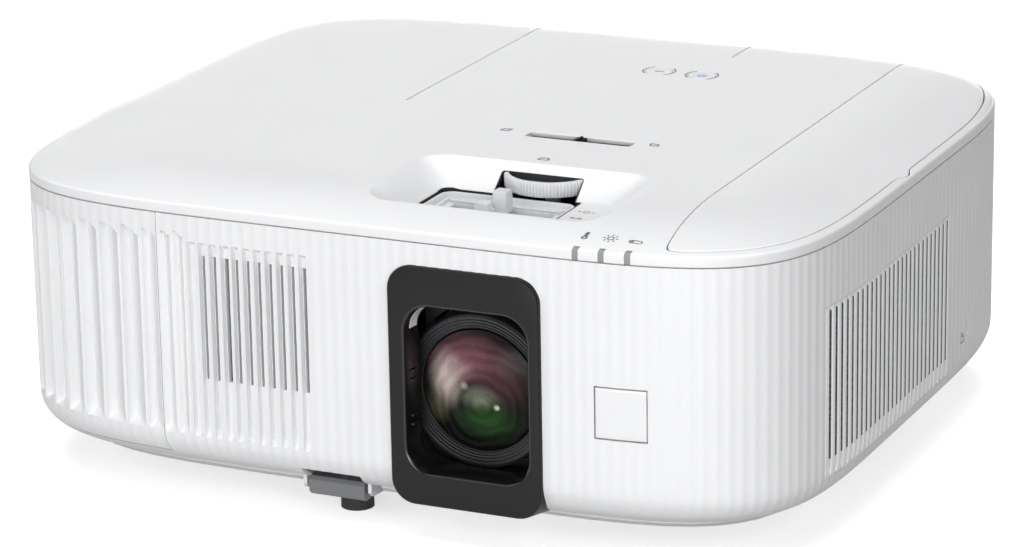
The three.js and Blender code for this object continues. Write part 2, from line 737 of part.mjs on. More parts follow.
function makeSocket(socket, wallThickness, cavity, tongue) {
  const shell = socketBox(socket, 0, panelFace - 16, panelFace + 0.8);
  const hollow = socketBox(socket, -wallThickness, panelFace + 0.8 - cavity, panelFace + 2);
  const { x, z } = socket;
  const [width, height] = tongue;
  const blade = box(
    x - width / 2, x + width / 2, panelFace - cavity - 1, panelFace - 2, z - height / 2, z + height / 2,
  );
  return shell.subtract(hollow).add(blade);
}

function makePowerInlet() {
  const { x, z } = sockets.power;
  const shell = socketBox(sockets.power, 0, panelFace - 22, panelFace + 0.8);
  const hollow = socketBox(sockets.power, -2, panelFace - 17, panelFace + 2);
  const pins = [[-7, -1], [7, -1], [0, 3]].map(([dx, dz]) => box(
    x + dx - 1, x + dx + 1, panelFace - 18, panelFace - 5.5, z + dz - 2, z + dz + 2,
  ));
  return join([shell.subtract(hollow), ...pins]);
}

add('terminal_panel', makePanel(), 'trayWhite');
add('power_inlet', makePowerInlet(), 'black');
add('hdmi_socket_1', makeSocket(sockets.hdmi1, 1, 11, [12, 1.6]), 'metal');
add('hdmi_socket_2', makeSocket(sockets.hdmi2, 1, 11, [12, 1.6]), 'metal');
add('usb_socket', makeSocket(sockets.usb, 0.9, 11, [11, 2]), 'metal');
add('audio_socket', socketBox(sockets.audio, 0, panelFace - 14, panelFace + 0.8).subtract(
  rod('y', sockets.audio.x, sockets.audio.z, 1.9, panelFace - 10, panelFace + 3, 12),
), 'black');
add('rear_infrared_window', socketBox(sockets.infrared, 0, panelFace - 1.6, panelFace + 0.8), 'irRed');
add('speaker', join([
  rod('y', speakerUnit.x, speakerUnit.z, speakerUnit.cone, speakerUnit.basket, speakerUnit.front, 20),
  rod('y', speakerUnit.x, speakerUnit.z, speakerUnit.magnet, speakerUnit.back, speakerUnit.basket + 1),
]), 'black');

// ---- inside ---------------------------------------------------------------------------------

function makeFanFrame(axis, u, v, from) {
  const to = from + fan.depth;
  const half = fan.size / 2;
  const square = roundedShape(u, v, fan.size, fan.size, 6);
  const frame = extrude(square, axis, from, to).subtract(rod(axis, u, v, fan.bore, from - 1, to + 1, 28));
  const spokes = [0, 1].map((turn) => {
    const bar = polygon(turn
      ? [[u - half + 1, v - 2], [u + half - 1, v - 2], [u + half - 1, v + 2], [u - half + 1, v + 2]]
      : [[u - 2, v - half + 1], [u + 2, v - half + 1], [u + 2, v + half - 1], [u - 2, v + half - 1]]);
    return extrude(bar, axis, from, from + 3);
  });
  const post = rod(axis, u, v, fan.hub - 1, from, from + 4);
  return join([frame, ...spokes, post]);
}

function makeFanRotor(axis, u, v, from) {
  const start = from + 5;
  const end = from + fan.depth - 1;
  const blades = [];
  for (let i = 0; i < fan.blades; i += 1) {
    const geometry = new THREE.BoxGeometry(fan.blade - fan.hub + 4, 1.6, 20);
    geometry.rotateX(THREE.MathUtils.degToRad(38));
    geometry.translate((fan.blade + fan.hub - 4) / 2, 0, (end - start) / 2);
    geometry.rotateZ(i / fan.blades * 2 * Math.PI);
    geometry.applyMatrix4(new THREE.Matrix4().makeBasis(...facing[axis]));
    const place = axis === 'x' ? [start, u, v] : [u, end, v];
    geometry.translate(...place);
    blades.push(solid(geometry));
  }
  const sweep = rod(axis, u, v, fan.blade, start, end, 24);
  return join([rod(axis, u, v, fan.hub, start, end, 20), ...blades]).intersect(sweep);
}

function makeEngine() {
  const outer = box(-12, 92, -19.7, 64, 30, 84);
  const prism = box(20, 64, -22, 24, 34, 90);
  const lightPath = box(64, 98, 26, 60, 34, 90);
  const relay = box(-8, 66, 28, 60, 34, 90);
  const legs = [[-9, -16], [89, -16], [-9, 60], [89, 60]].map(([x, y]) => (
    box(x - 3, x + 3, y - 3, y + 3, floorZ + gap, 31)
  ));
  return join([cut(outer, [prism, lightPath, relay]), ...legs]);
}

function makeLampHousing() {
  return box(101, 150, 30, 112, 32, 104).subtract(box(98, 146, 34, 108, 36, 106));
}

function makeReflector() {
  const points = [];
  const steps = 4;
  const curve = (r) => 118 + 0.014 * (40 ** 2 - (r + 4) ** 2);
  for (let i = 0; i <= steps; i += 1) points.push([4 + 24 * i / steps, curve(4 + 24 * i / steps)]);
  for (let i = steps; i >= 0; i -= 1) points.push([4 + 24 * i / steps, curve(4 + 24 * i / steps) + 2]);
  points.push(points[0]);
  const profile = points.map(([r, x]) => new THREE.Vector2(r, x));
  const geometry = new THREE.LatheGeometry(profile, 20);
  geometry.applyMatrix4(new THREE.Matrix4().makeBasis(facing.x[0], facing.x[2], facing.x[1]));
  geometry.translate(-18, 71, 70);
  return solid(geometry);
}

function makeBoard(x0, x1, y0, y1, z, thickness, parts) {
  const chips = parts.map(([x, y, width, depth, height]) => (
    box(x - width / 2, x + width / 2, y - depth / 2, y + depth / 2, z + 0.5, z + thickness + height)
  ));
  return join([box(x0, x1, y0, y1, z, z + thickness), ...chips]);
}

const exhaustFan = { axis: 'y', u: -84, v: 60, from: -118 };
const intakeFan = { axis: 'x', u: -34, v: 60, from: 122 };

add('exhaust_fan_frame', makeFanFrame(...Object.values(exhaustFan)), 'black');
add('exhaust_fan_rotor', makeFanRotor(...Object.values(exhaustFan)), 'black');
add('intake_fan_frame', makeFanFrame(...Object.values(intakeFan)), 'black');
add('intake_fan_rotor', makeFanRotor(...Object.values(intakeFan)), 'black');
add('optical_engine_housing', makeEngine(), 'black');
add('light_combining_prism', box(26, 58, -14, 18, 40, 72), 'glass');
add('lamp_housing', makeLampHousing(), 'metal');
add('lamp_reflector', makeReflector(), 'metal');
add('main_board', makeBoard(-70, 94, -6, 114, 96, 1.6, [
  [20, 50, 40, 40, 6], [-30, 20, 22, 22, 3], [-40, 80, 30, 18, 8], [70, 20, 16, 24, 5],
]), 'board');
add('power_supply', makeBoard(-88, -20, 10, 112, 16, 1.8, [
  [-54, 40, 30, 34, 26], [-74, 84, 16, 34, 32], [-38, 90, 20, 20, 22], [-34, 24, 14, 14, 28],
]), 'board');
add('lamp_ballast', makeBoard(-136, -97, -48, 48, 16, 1.8, [
  [-116, 0, 26, 26, 22], [-116, 34, 20, 14, 16], [-118, -32, 16, 16, 24],
]), 'board');

export default projector;
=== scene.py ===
import json
import math

import bpy
import numpy as np
from mathutils import Matrix, Vector
from mathutils.geometry import delaunay_2d_cdt


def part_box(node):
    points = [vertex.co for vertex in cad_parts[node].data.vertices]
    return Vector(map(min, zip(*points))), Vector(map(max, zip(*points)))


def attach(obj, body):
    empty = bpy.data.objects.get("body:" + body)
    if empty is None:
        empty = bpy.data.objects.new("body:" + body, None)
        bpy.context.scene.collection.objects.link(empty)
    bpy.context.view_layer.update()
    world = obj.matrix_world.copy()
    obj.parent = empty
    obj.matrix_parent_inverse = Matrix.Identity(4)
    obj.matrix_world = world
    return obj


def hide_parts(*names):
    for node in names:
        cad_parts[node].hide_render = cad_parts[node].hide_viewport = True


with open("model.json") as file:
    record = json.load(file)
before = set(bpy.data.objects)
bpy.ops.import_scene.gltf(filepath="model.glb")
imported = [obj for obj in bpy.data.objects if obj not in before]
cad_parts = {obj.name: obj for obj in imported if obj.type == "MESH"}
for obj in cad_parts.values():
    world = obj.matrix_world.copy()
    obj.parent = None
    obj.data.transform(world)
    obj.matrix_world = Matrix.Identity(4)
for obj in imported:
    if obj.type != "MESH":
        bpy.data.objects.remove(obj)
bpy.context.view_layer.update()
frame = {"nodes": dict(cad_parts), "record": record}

# ---- sizes, in millimetres ------------------------------------------------------------------

MM = 0.001


def node_box(name):
    """Lowest and highest corner of a CAD node, in millimetres."""
    return np.array(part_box(name)) / MM


LOW, HIGH = node_box("lower_case")
LID_HIGH = node_box("upper_case")[1]
BEZEL_LOW, BEZEL_HIGH = node_box("lens_bezel")
WIDTH, DEPTH = 333.0, 290.0
HALF_X, HALF_Y = WIDTH / 2, DEPTH / 2
MIDDLE_Y = (LOW[1] + HIGH[1]) / 2
FRONT_Y = MIDDLE_Y - HALF_Y
REAR_Y = MIDDLE_Y + HALF_Y
POWER = 5.54                      # plan outline |x/a|^p + |y/b|^p = 1
SEAM_Z = 114.0
CROWN_Z = LID_HIGH[2]
SKIRT_Z = LOW[2]
SKIRT_TOP = HIGH[2]
GAP = 0.3
SEAM = 0.06                       # gap round the pieces that fill the skirt's openings
WALL = 2.4
LID_WALL = 2.0
EDGE_DROP = 0.22                  # how far the lid dips at the edge of an opening

FLUTE = 4.75                      # pitch of the flutes
FLUTE_DEPTH = 0.26
FLUTE_STEPS = 5                   # mesh columns in each flute
ROLL = 14.0                       # radius of the skirt's rolled foot
ROLL_INSET = 7.5
LIP_Z = 118.2                     # where the lid's upright lip turns into its top
RIM_INSET = 1.1                   # run of that turn
RIM_DROP = 1.2
DOME_RUN = 45.0                   # how far the top keeps rising inwards at the front and right
SHOULDER_RISE = 10.0              # fuller edge at the left and rear: rise, run and powers
SHOULDER_RUN = 26.0
SHOULDER_POWERS = (5.0, 2.16)

LENS_X, LENS_Z = 42.0, 56.0
SLOT_X = -22.7                    # rightmost open slot of the front vent
SLOT_PITCH = 4.69
SLOT_COUNT = 10
SLOT_Z = (50.0, 98.5)
LOUVRE_TOP = 104.0
LOUVRE_FOOT = 28.5
GRILLE_X = -85.0
GRILLE_Y = -58.0
GRILLE_LOW = 19.0
INTAKE_Y = (-94.0, 35.5)
INTAKE_Z = (25.0, 91.0)
IR_X, IR_Z, IR_SIZE = 102.7, 57.6, 19.6

# ---- outline of the case --------------------------------------------------------------------


def radius_at(angle, inset):
    """Distance from the middle to the outline drawn in by an inset, in a direction."""
    a, b = HALF_X - inset, HALF_Y - inset
    x, y = np.abs(np.cos(angle)) / a, np.abs(np.sin(angle)) / b
    return (x ** POWER + y ** POWER) ** (-1 / POWER)


def plan_points(angle, inset):
    r = radius_at(angle, inset)
    return np.stack([r * np.cos(angle), MIDDLE_Y + r * np.sin(angle)], -1)


# Walk round the case: s is the distance from the middle of the front, positive to the right.
_turn = np.linspace(-math.pi / 2, 1.5 * math.pi, 14401)
_walk = plan_points(_turn, 0)
_length = np.concatenate([[0], np.cumsum(np.linalg.norm(np.diff(_walk, axis=0), axis=1))])
PERIMETER = _length[-1]


def angle_of(s):
    return np.interp(np.mod(s, PERIMETER), _length, _turn)


def normals_at(angle):
    p = plan_points(angle, 0)
    x, y = p[..., 0], p[..., 1] - MIDDLE_Y
    n = np.stack([
        np.sign(x) * np.abs(x / HALF_X) ** (POWER - 1) / HALF_X,
        np.sign(y) * np.abs(y / HALF_Y) ** (POWER - 1) / HALF_Y,
    ], -1)
    return n / np.linalg.norm(n, axis=-1, keepdims=True)


def s_front(x):
    """Walk distance of a place on the front, from its x."""
    right = _turn <= 0
    left = _turn >= math.pi
    if x >= 0:
        return float(np.interp(x, _walk[right, 0][:7200], _length[right][:7200]))
    return float(np.interp(x, _walk[left, 0], _length[left])) - PERIMETER


def s_side(y, side):
    """Walk distance of a place on the right (1) or left (-1) side, from its y."""
    band = (_turn > -math.pi / 4) & (_turn < math.pi / 4)
    s = float(np.interp(y, _walk[band, 1], _length[band]))
    return s if side > 0 else -s


def s_rear(x):
    """Walk distance of a place on the back, from its x. It only reaches 30 degrees from the middle."""
    band = (_turn > math.pi / 3) & (_turn < math.pi * 2 / 3)
    return float(np.interp(-x, -_walk[band, 0], _length[band]))


# ---- mesh helpers ---------------------------------------------------------------------------


def make(name, verts, faces, material, body="case", sharp=28, slot=None, replaces=(), normals=None):
    """A mesh object from millimetre vertices, smooth except where it folds sharply.

    normals maps a face's index to the normals at its corners, where they are known exactly.
    """
    mesh = bpy.data.meshes.new(name)
    mesh.from_pydata((np.asarray(verts, float) * MM).tolist(), [], [list(map(int, f)) for f in faces])
    mesh.validate()
    mesh.update()
    mesh.shade_smooth()
    mesh.set_sharp_from_angle(angle=math.radians(sharp))
    if normals:
        corner = [tuple(n.vector) for n in mesh.corner_normals]
        for face, known in normals.items():
            start = mesh.polygons[face].loop_start
            corner[start:start + len(known)] = [tuple(n) for n in known]
        mesh.normals_split_custom_set(corner)
    obj = bpy.data.objects.new(name, mesh)
    bpy.context.scene.collection.objects.link(obj)
    for m in material if isinstance(material, (list, tuple)) else [material]:
        mesh.materials.append(m)
    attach(obj, body)
    if replaces:
        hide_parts(*replaces)
    return obj


def bevel(obj, width, segments=2, angle=30):
    """Rounds the folds of a piece and applies the result."""
    mod = obj.modifiers.new("round", "BEVEL")
    mod.width = width * MM
    mod.segments = segments
    mod.limit_method = "ANGLE"
    mod.angle_limit = math.radians(angle)
    mod.harden_normals = True
    bpy.context.view_layer.update()
    done = bpy.data.meshes.new_from_object(obj.evaluated_get(bpy.context.evaluated_depsgraph_get()))
    obj.modifiers.clear()
    obj.data = done
    return obj


class Shape:
    """Vertices and faces that grow piece by piece."""

    def __init__(self):
        self.verts = []
        self.faces = []

    def add(self, verts, faces):
        start = len(self.verts)
        self.verts.extend([tuple(v) for v in verts])
        self.faces.extend([tuple(start + i for i in f) for f in faces])
        return self

    def box(self, x0, x1, y0, y1, z0, z1):
        v = [(x, y, z) for z in (z0, z1) for y in (y0, y1) for x in (x0, x1)]
        f = [(0, 2, 3, 1), (4, 5, 7, 6), (0, 1, 5, 4), (2, 6, 7, 3), (0, 4, 6, 2), (1, 3, 7, 5)]
        return self.add(v, f)

    def rings(self, loops, cap_start=True, cap_end=True, closed=True):
        """Quads between loops of equally many points, with end caps."""
        n = len(loops[0])
        verts = np.concatenate([np.asarray(loop, float) for loop in loops])
        faces = []
        for k in range(len(loops) - 1):
            for i in range(n if closed else n - 1):
                a, b = k * n + i, k * n + (i + 1) % n
                faces.append((a, b, b + n, a + n))
        if cap_start:
            faces.append(tuple(range(n - 1, -1, -1)))
        if cap_end:
            last = (len(loops) - 1) * n
            faces.append(tuple(range(last, last + n)))
        return self.add(verts, faces)

    def make(self, name, material, **more):
        return make(name, self.verts, self.faces, material, **more)


def circle(x, y, r, n=48, start=0.0):
    t = start + np.arange(n) / n * 2 * math.pi
    return np.stack([x + r * np.cos(t), y + r * np.sin(t)], -1)


def rounded(x, y, width, height, r, steps=8):
    """A rounded rectangle, anticlockwise from its right side."""
    points = []
    corners = ((1, -1, -90), (1, 1, 0), (-1, 1, 90), (-1, -1, 180))
    for sx, sy, start in corners:
        for i in range(steps + 1):
            a = math.radians(start + 90 * i / steps)
            cx, cy = x + sx * (width / 2 - r), y + sy * (height / 2 - r)
            points.append((cx + r * math.cos(a), cy + r * math.sin(a)))
    return np.array(points)


def bar_faces(n, pairs, reverse=False):
    """Faces of a bar of four lines of n points: a strip for each pair of lines, and two ends."""
    faces = [(a * n + i, a * n + i + 1, b * n + i + 1, b * n + i) for a, b in pairs for i in range(n - 1)]
    faces += [(0, n, 2 * n, 3 * n), (4 * n - 1, 3 * n - 1, 2 * n - 1, n - 1)]
    return [tuple(reversed(f)) for f in faces] if reverse else faces


def flat_loop(points, z):
    return np.column_stack([points, np.full(len(points), z)])


def front_loop(points, y):
    """A loop drawn in x, z, standing at depth y."""
    return np.column_stack([points[:, 0], np.full(len(points), y), points[:, 1]])


def turned_loops(profile, n=96, x=LENS_X, z=LENS_Z):
    """Loops round the lens axis from (radius, y) points."""
    t = np.arange(n) / n * 2 * math.pi
    return [np.stack([x + r * np.cos(t), np.full(n, y), z + r * np.sin(t)], -1) for r, y in profile]


def column_loops(profile, x, y, n=64):
    """Loops round an upright axis from (radius, z) points."""
    return [flat_loop(circle(x, y, r, n), z) for r, z in profile]


def offset_loop(points, distance):
    """A closed loop moved out by a distance (anticlockwise loops grow)."""
    before, after = np.roll(points, 1, 0), np.roll(points, -1, 0)
    tangent = after - before
    tangent /= np.linalg.norm(tangent, axis=1, keepdims=True)
    return points + distance * np.stack([tangent[:, 1], -tangent[:, 0]], -1)


def inside(points, loop):
    """Which points lie inside a closed loop."""
    x, y = points[:, 0], points[:, 1]
    hit = np.zeros(len(points), bool)
    a, b = loop, np.roll(loop, -1, 0)
    for (x0, y0), (x1, y1) in zip(a, b):
        if y0 != y1:
            across = (y0 > y) != (y1 > y)
            hit ^= across & (x < (x1 - x0) * (y - y0) / (y1 - y0) + x0)
    return hit


def thicken(outer, inner, faces):
    """Closes a sheet with a second sheet behind it and walls round every open edge."""
    count = len(outer)
    edges = {}
    for f in faces:
        for i, a in enumerate(f):
            b = f[(i + 1) % len(f)]
            if (b, a) in edges:
                del edges[(b, a)]
            else:
                edges[(a, b)] = True
    back = [tuple(count + i for i in reversed(f)) for f in faces]
    walls = [(b, a, count + a, count + b) for a, b in edges]
    return np.concatenate([outer, inner]), list(faces) + back + walls


# ---- materials ------------------------------------------------------------------------------


def new_material(name):
    material = bpy.data.materials.new(name)
    material.use_nodes = True
    nodes = material.node_tree.nodes
    return material, nodes, material.node_tree.links, nodes["Principled BSDF"]


def add_node(nodes, kind, values=None, **settings):
    """A shader node with its settings and the values of its unlinked inputs."""
    node = nodes.new("ShaderNode" + kind)
    for key, value in settings.items():
        setattr(node, key, value)
    for key, value in (values or {}).items():
        node.inputs[key].default_value = value
    return node


def object_place(nodes):
    """The place on the object, in its own space."""
    return add_node(nodes, "TexCoord").outputs["Object"]


def noise(nodes, links, scale, detail=3.0, rough=0.55):
    place = object_place(nodes)
    tex = add_node(nodes, "TexNoise", {"Scale": scale, "Detail": detail, "Roughness": rough})
    links.new(place, tex.inputs["Vector"])
    return tex.outputs["Fac"]


def spread(nodes, links, value, low, high):
    band = add_node(nodes, "MapRange", {"From Min": 0.3, "From Max": 0.7, "To Min": low, "To Max": high})
    links.new(value, band.inputs["Value"])
    return band.outputs["Result"]


def colours(nodes, links, value, first, second):
    ramp = nodes.new("ShaderNodeValToRGB")
    ramp.color_ramp.elements[0].position = 0.3
    ramp.color_ramp.elements[1].position = 0.7
    ramp.color_ramp.elements[0].color = (*first, 1)
    ramp.color_ramp.elements[1].color = (*second, 1)
    links.new(value, ramp.inputs["Fac"])
    return ramp.outputs["Color"]


def plastic(name, colour, rough, grain=2600.0, relief=0.05, vary=0.02, specular=0.5):
    """Moulded plastic: fine spark-eroded grain and a faint unevenness of colour and gloss."""
    material, nodes, links, shader = new_material(name)
    slow = noise(nodes, links, 30.0, 4.0)
    fine = noise(nodes, links, grain, 2.0)
    low = [max(0.0, c * (1 - vary)) for c in colour]
    high = [min(1.0, c * (1 + vary)) for c in colour]
    links.new(colours(nodes, links, slow, low, high), shader.inputs["Base Color"])
    links.new(spread(nodes, links, slow, rough - 0.03, rough + 0.03), shader.inputs["Roughness"])
    bump = add_node(nodes, "Bump", {"Strength": relief, "Distance": 0.0001})
    links.new(fine, bump.inputs["Height"])
    links.new(bump.outputs["Normal"], shader.inputs["Normal"])
    shader.inputs["Specular IOR Level"].default_value = specular
    return material


def metal(name, colour, rough, scale=400.0):
    material, nodes, links, shader = new_material(name)
    shader.inputs["Metallic"].default_value = 1.0
    fac = noise(nodes, links, scale, 5.0)
    low = [c * 0.85 for c in colour]
    links.new(colours(nodes, links, fac, low, colour), shader.inputs["Base Color"])
    links.new(spread(nodes, links, fac, rough - 0.08, rough + 0.08), shader.inputs["Roughness"])
    return material


def board_material():
    """Green solder mask with lighter tracks and pads."""
    material, nodes, links, shader = new_material("circuit_board_mask")
    place = object_place(nodes)
    tracks = add_node(nodes, "TexBrick", {
        "Scale": 160.0,
        "Mortar Size": 0.03,
        "Color1": (0.012, 0.09, 0.035, 1),
        "Color2": (0.016, 0.12, 0.05, 1),
        "Mortar": (0.06, 0.24, 0.1, 1),
    })
    links.new(place, tracks.inputs["Vector"])
    links.new(tracks.outputs["Color"], shader.inputs["Base Color"])
    links.new(spread(nodes, links, noise(nodes, links, 90.0), 0.3, 0.5), shader.inputs["Roughness"])
    return material


def foam_material():
    material, nodes, links, shader = new_material("filter_foam_grain")
    place = object_place(nodes)
    cells = add_node(nodes, "TexVoronoi", {"Scale": 900.0})
    links.new(place, cells.inputs["Vector"])
    links.new(colours(nodes, links, cells.outputs["Distance"], (0.02, 0.02, 0.022), (0.12, 0.12, 0.125)),
              shader.inputs["Base Color"])
    shader.inputs["Roughness"].default_value = 0.95
    return material


def reflection_spot(nodes, links, centre, size):
    """Mask of one painted reflection on the lens: 1 at a point of it and 0 outside an upright ellipse round
    it, for two half sizes in mm.
    """
    place = object_place(nodes)
    middle = ((LENS_X + centre[0]) * MM, 0, (LENS_Z + centre[1]) * MM)
    shift = add_node(nodes, "VectorMath", {1: middle}, operation="SUBTRACT")
    links.new(place, shift.inputs[0])
    stretch = (1 / (size[0] * MM), 0, 1 / (size[1] * MM))
    scale = add_node(nodes, "VectorMath", {1: stretch}, operation="MULTIPLY")
    links.new(shift.outputs["Vector"], scale.inputs[0])
    length = add_node(nodes, "VectorMath", operation="LENGTH")
    links.new(scale.outputs["Vector"], length.inputs[0])
    band = add_node(nodes, "MapRange", {"From Min": 1.0, "From Max": 0.0}, interpolation_type="SMOOTHSTEP")
    links.new(length.outputs["Value"], band.inputs["Value"])
    return band.outputs["Result"]


def blend(nodes, links, factor, base, colour, strength=1.0):
    """A colour laid over another by a factor."""
    amount = add_node(nodes, "Math", {1: strength}, operation="MULTIPLY")
    links.new(factor, amount.inputs[0])
    mix = add_node(nodes, "Mix", data_type="RGBA")
    links.new(amount.outputs["Value"], mix.inputs["Factor"])
    links.new(base, mix.inputs["A"])
    mix.inputs["B"].default_value = (*colour, 1)
    return mix.outputs["Result"]


def glass_material():
    """The coated front element: dark inside, with painted coating reflections and highlights and faint
    rings.
    """
    material, nodes, links, shader = new_material("coated_glass_front")
    detail = {"Scale": 70.0, "Distortion": 9.0, "Detail": 5.0}
    rings = add_node(nodes, "TexWave", detail, wave_type="RINGS", rings_direction="Y")
    place = object_place(nodes)
    middle = ((LENS_X + 3) * MM, 0, (LENS_Z - 5) * MM)
    shift = add_node(nodes, "VectorMath", {1: middle}, operation="SUBTRACT")
    links.new(place, shift.inputs[0])
    links.new(shift.outputs["Vector"], rings.inputs["Vector"])
    colour = colours(nodes, links, rings.outputs["Fac"], (0.006, 0.006, 0.006), (0.012, 0.011, 0.011))
    # Lay each painted reflection spot over the dark glass colour.
    for centre, size, reflection_colour, strength in GLASS_PAINTED_REFLECTIONS:
        colour = blend(nodes, links, reflection_spot(nodes, links, centre, size), colour, reflection_colour, strength)
    streaks = add_node(nodes, "Mix", {"Factor": 1.0}, data_type="RGBA", blend_type="MULTIPLY")
    links.new(colour, streaks.inputs["A"])
    shade = colours(nodes, links, rings.outputs["Fac"], (0.8, 0.78, 0.78), (1, 1, 1))
    links.new(shade, streaks.inputs["B"])
    links.new(streaks.outputs["Result"], shader.inputs["Base Color"])
    links.new(spread(nodes, links, noise(nodes, links, 60.0), 0.16, 0.24), shader.inputs["Roughness"])
    shader.inputs["Specular IOR Level"].default_value = 0.05
    return material


# Painted reflections on the front glass, fixed to it: coloured coating reflections, pale painted highlights
# and two small painted glints. Each row is a centre, two half sizes, a colour and a strength.
GLASS_PAINTED_REFLECTIONS = [
    ((-4.0, 12.0), (23.0, 13.0), (0.24, 0.10, 0.125), 0.8),
    ((12.0, 5.0), (14.0, 14.0), (0.10, 0.045, 0.05), 0.6),
    ((4.0, -10.0), (17.0, 11.0), (0.020, 0.072, 0.016), 0.85),
    ((-12.5, 4.0), (9.5, 14.0), (0.80, 0.68, 0.62), 0.75),
    ((-6.5, 8.5), (7.5, 5.5), (0.50, 0.36, 0.36), 0.5),
    ((-16.0, -7.0), (7.0, 9.0), (0.14, 0.14, 0.07), 0.6),
    ((1.5, -1.5), (10.0, 6.0), (0.26, 0.30, 0.22), 0.65),
    ((-4.4, 2.4), (2.2, 2.2), (0.46, 0.47, 0.40), 0.7),
    ((8.3, -4.7), (1.6, 1.6), (0.70, 0.82, 0.66), 0.95),
]


MATERIALS = {
    "white": plastic("white_moulding", (0.83, 0.835, 0.845), 0.42, relief=0.10, vary=0.008),
    "tray": plastic("tray_moulding", (0.72, 0.73, 0.745), 0.5, relief=0.12, vary=0.015),
    # A darker copy of the white moulding, painted shade for the underside; no piece uses it.
    "under": plastic("underside_shaded_copy", (0.66, 0.67, 0.69), 0.5, relief=0.16, vary=0.02),
    "charcoal": plastic("charcoal_moulding", (0.005, 0.005, 0.0055), 0.42, relief=0.2, vary=0.08,
                        specular=0.22),
    "gloss": plastic("charcoal_gloss", (0.006, 0.006, 0.0065), 0.2, relief=0.02, vary=0.05, specular=0.4),
    "black": plastic("black_moulding", (0.009, 0.009, 0.01), 0.42, relief=0.15, vary=0.1),
    "ring": plastic("lens_ring_moulding", (0.010, 0.010, 0.012), 0.4, relief=0.1, vary=0.08, specular=0.4),
    "grey": plastic("grey_moulding", (0.155, 0.158, 0.165), 0.4, relief=0.15, vary=0.04),
    "indicator": plastic("indicator_frost", (0.27, 0.275, 0.28), 0.25, relief=0.05, vary=0.03),
    "window": plastic("window_gloss", (0.84, 0.845, 0.855), 0.2, relief=0.02, vary=0.01),
    "rubber": plastic("foot_rubber", (0.012, 0.012, 0.012), 0.75, grain=1400.0, relief=0.4, vary=0.15),
    "print": plastic("grey_print", (0.15, 0.153, 0.16), 0.5, relief=0.03, vary=0.03),
    "blue": plastic("blue_print", (0.05, 0.22, 0.62), 0.45, relief=0.03, vary=0.03),
    "steel": metal("plated_steel", (0.6, 0.6, 0.61), 0.3),
    "board": board_material(),
    "foam": foam_material(),
    "glass": glass_material(),
}
SLOT_MATERIAL = {
    "white_plastic": "white", "tray_white": "tray", "charcoal_plastic": "charcoal",
    "black_plastic": "black", "grey_plastic": "grey", "indicator_plastic": "indicator",
    "window_plastic": "window", "coated_glass": "glass", "rubber": "rubber", "steel": "steel",
    "circuit_board": "board", "filter_foam": "foam",
}


def dress_cad_nodes():
    """Gives each carried-over CAD node its procedural material."""
    slots = {row["node"]: row["material_slot"] for row in frame["record"]["subparts"]}
    for name, obj in frame["nodes"].items():
        obj.data.materials.clear()
        obj.data.materials.append(MATERIALS[SLOT_MATERIAL[slots[name]]])


# ---- skirt ----------------------------------------------------------------------------------


def skirt_rows():
    """Heights and insets of the skirt's rows, from its lower edge to the seam."""
    last = math.acos(1 - ROLL_INSET / ROLL)
    top = SKIRT_Z + ROLL * math.sin(last)
    angles = [last * (1 - i / 7) for i in range(8)]
    rows = [(top - ROLL * math.sin(a), ROLL * (1 - math.cos(a))) for a in angles]
    heights = np.concatenate([
        np.arange(math.ceil(top) + 1, 32, 1.2),
        np.arange(36, 86, 8.0),
        [SLOT_Z[0], IR_Z - IR_SIZE / 2 - GAP, IR_Z + IR_SIZE / 2 + GAP],
        np.arange(86.5, 92.5, 1.0),
        [95.0, SLOT_Z[1]],
        np.arange(99.5, 108.6, 0.9),
        [SKIRT_TOP - 0.5, SKIRT_TOP],
    ])
    return rows + [(z, 0.0) for z in np.unique(np.round(heights, 3))]


def flutes(s):
    f = np.mod(s / FLUTE, 1.0)
    return FLUTE_DEPTH * (1 - (2 * f - 1) ** 2)


def fade(z, low, high):
    """0 below low, 1 above high, smooth between."""
    t = np.clip((z - low) / (high - low), 0, 1)
    return t * t * (3 - 2 * t)


def round_end(distance, radius):
    """Depth of a milled end: 0 at its edge, 1 at a radius inside it."""
    u = np.clip(distance / radius, 0, 1)
    return np.sqrt(1 - (1 - u) ** 2)


def louvre_edges():
    """Walk distances where the cells of the front vent begin, from the left side to the open slots."""
    edges = [s_front(SLOT_X + 0.6 - i * SLOT_PITCH) for i in range(SLOT_COUNT + 1)]
    widths = [4.7, 5.5, 6.2, 7.6, 9.4, 10.0, 10.2, 9.8] + [9.5] * 9
    for width in widths:
        edges.append(edges[-1] - width)
    return np.array(edges[::-1])


EDGES = louvre_edges()
NARROW = 5.0                      # cells up to this width are plain channels
CHANNEL_DEPTH = 2.3


def louvres(s, z):
    """Depth of the vent cells: a ridge, a steep fall to its right, then a slow rise to the next."""
    s, z = np.broadcast_arrays(s, z)
    k = np.clip(np.searchsorted(EDGES, s, side="right") - 1, 0, len(EDGES) - 2)
    width = EDGES[k + 1] - EDGES[k]
    f = (s - EDGES[k]) / width
    narrow = width < NARROW
    ridge = np.where(narrow, 0.42, 1.35 / width)
    fall = np.where(narrow, 0.08, 0.9 / width)
    down = np.clip((f - ridge) / fall, 0, 1)
    rise = np.clip((f - ridge - fall) / (1 - ridge - fall), 0, 1)
    shape = down * np.where(narrow, 1.0, 1 - rise ** 1.35)
    depth = np.where(narrow, CHANNEL_DEPTH, np.minimum(4.0, 0.42 * width)) * shape
    top = np.where(narrow, LOUVRE_TOP - 0.4, LOUVRE_TOP - 2.0 + 5.0 * np.sqrt(np.maximum(1 - rise, 0)))
    radius = np.where(narrow, 1.6, 1.2)
    body = depth * round_end(top - z, radius) * round_end(z - LOUVRE_FOOT, 2.5)
    within = (s >= EDGES[0]) & (s <= EDGES[-1]) & (z < top) & (z > LOUVRE_FOOT)
    return np.where(within, body, 0.0)


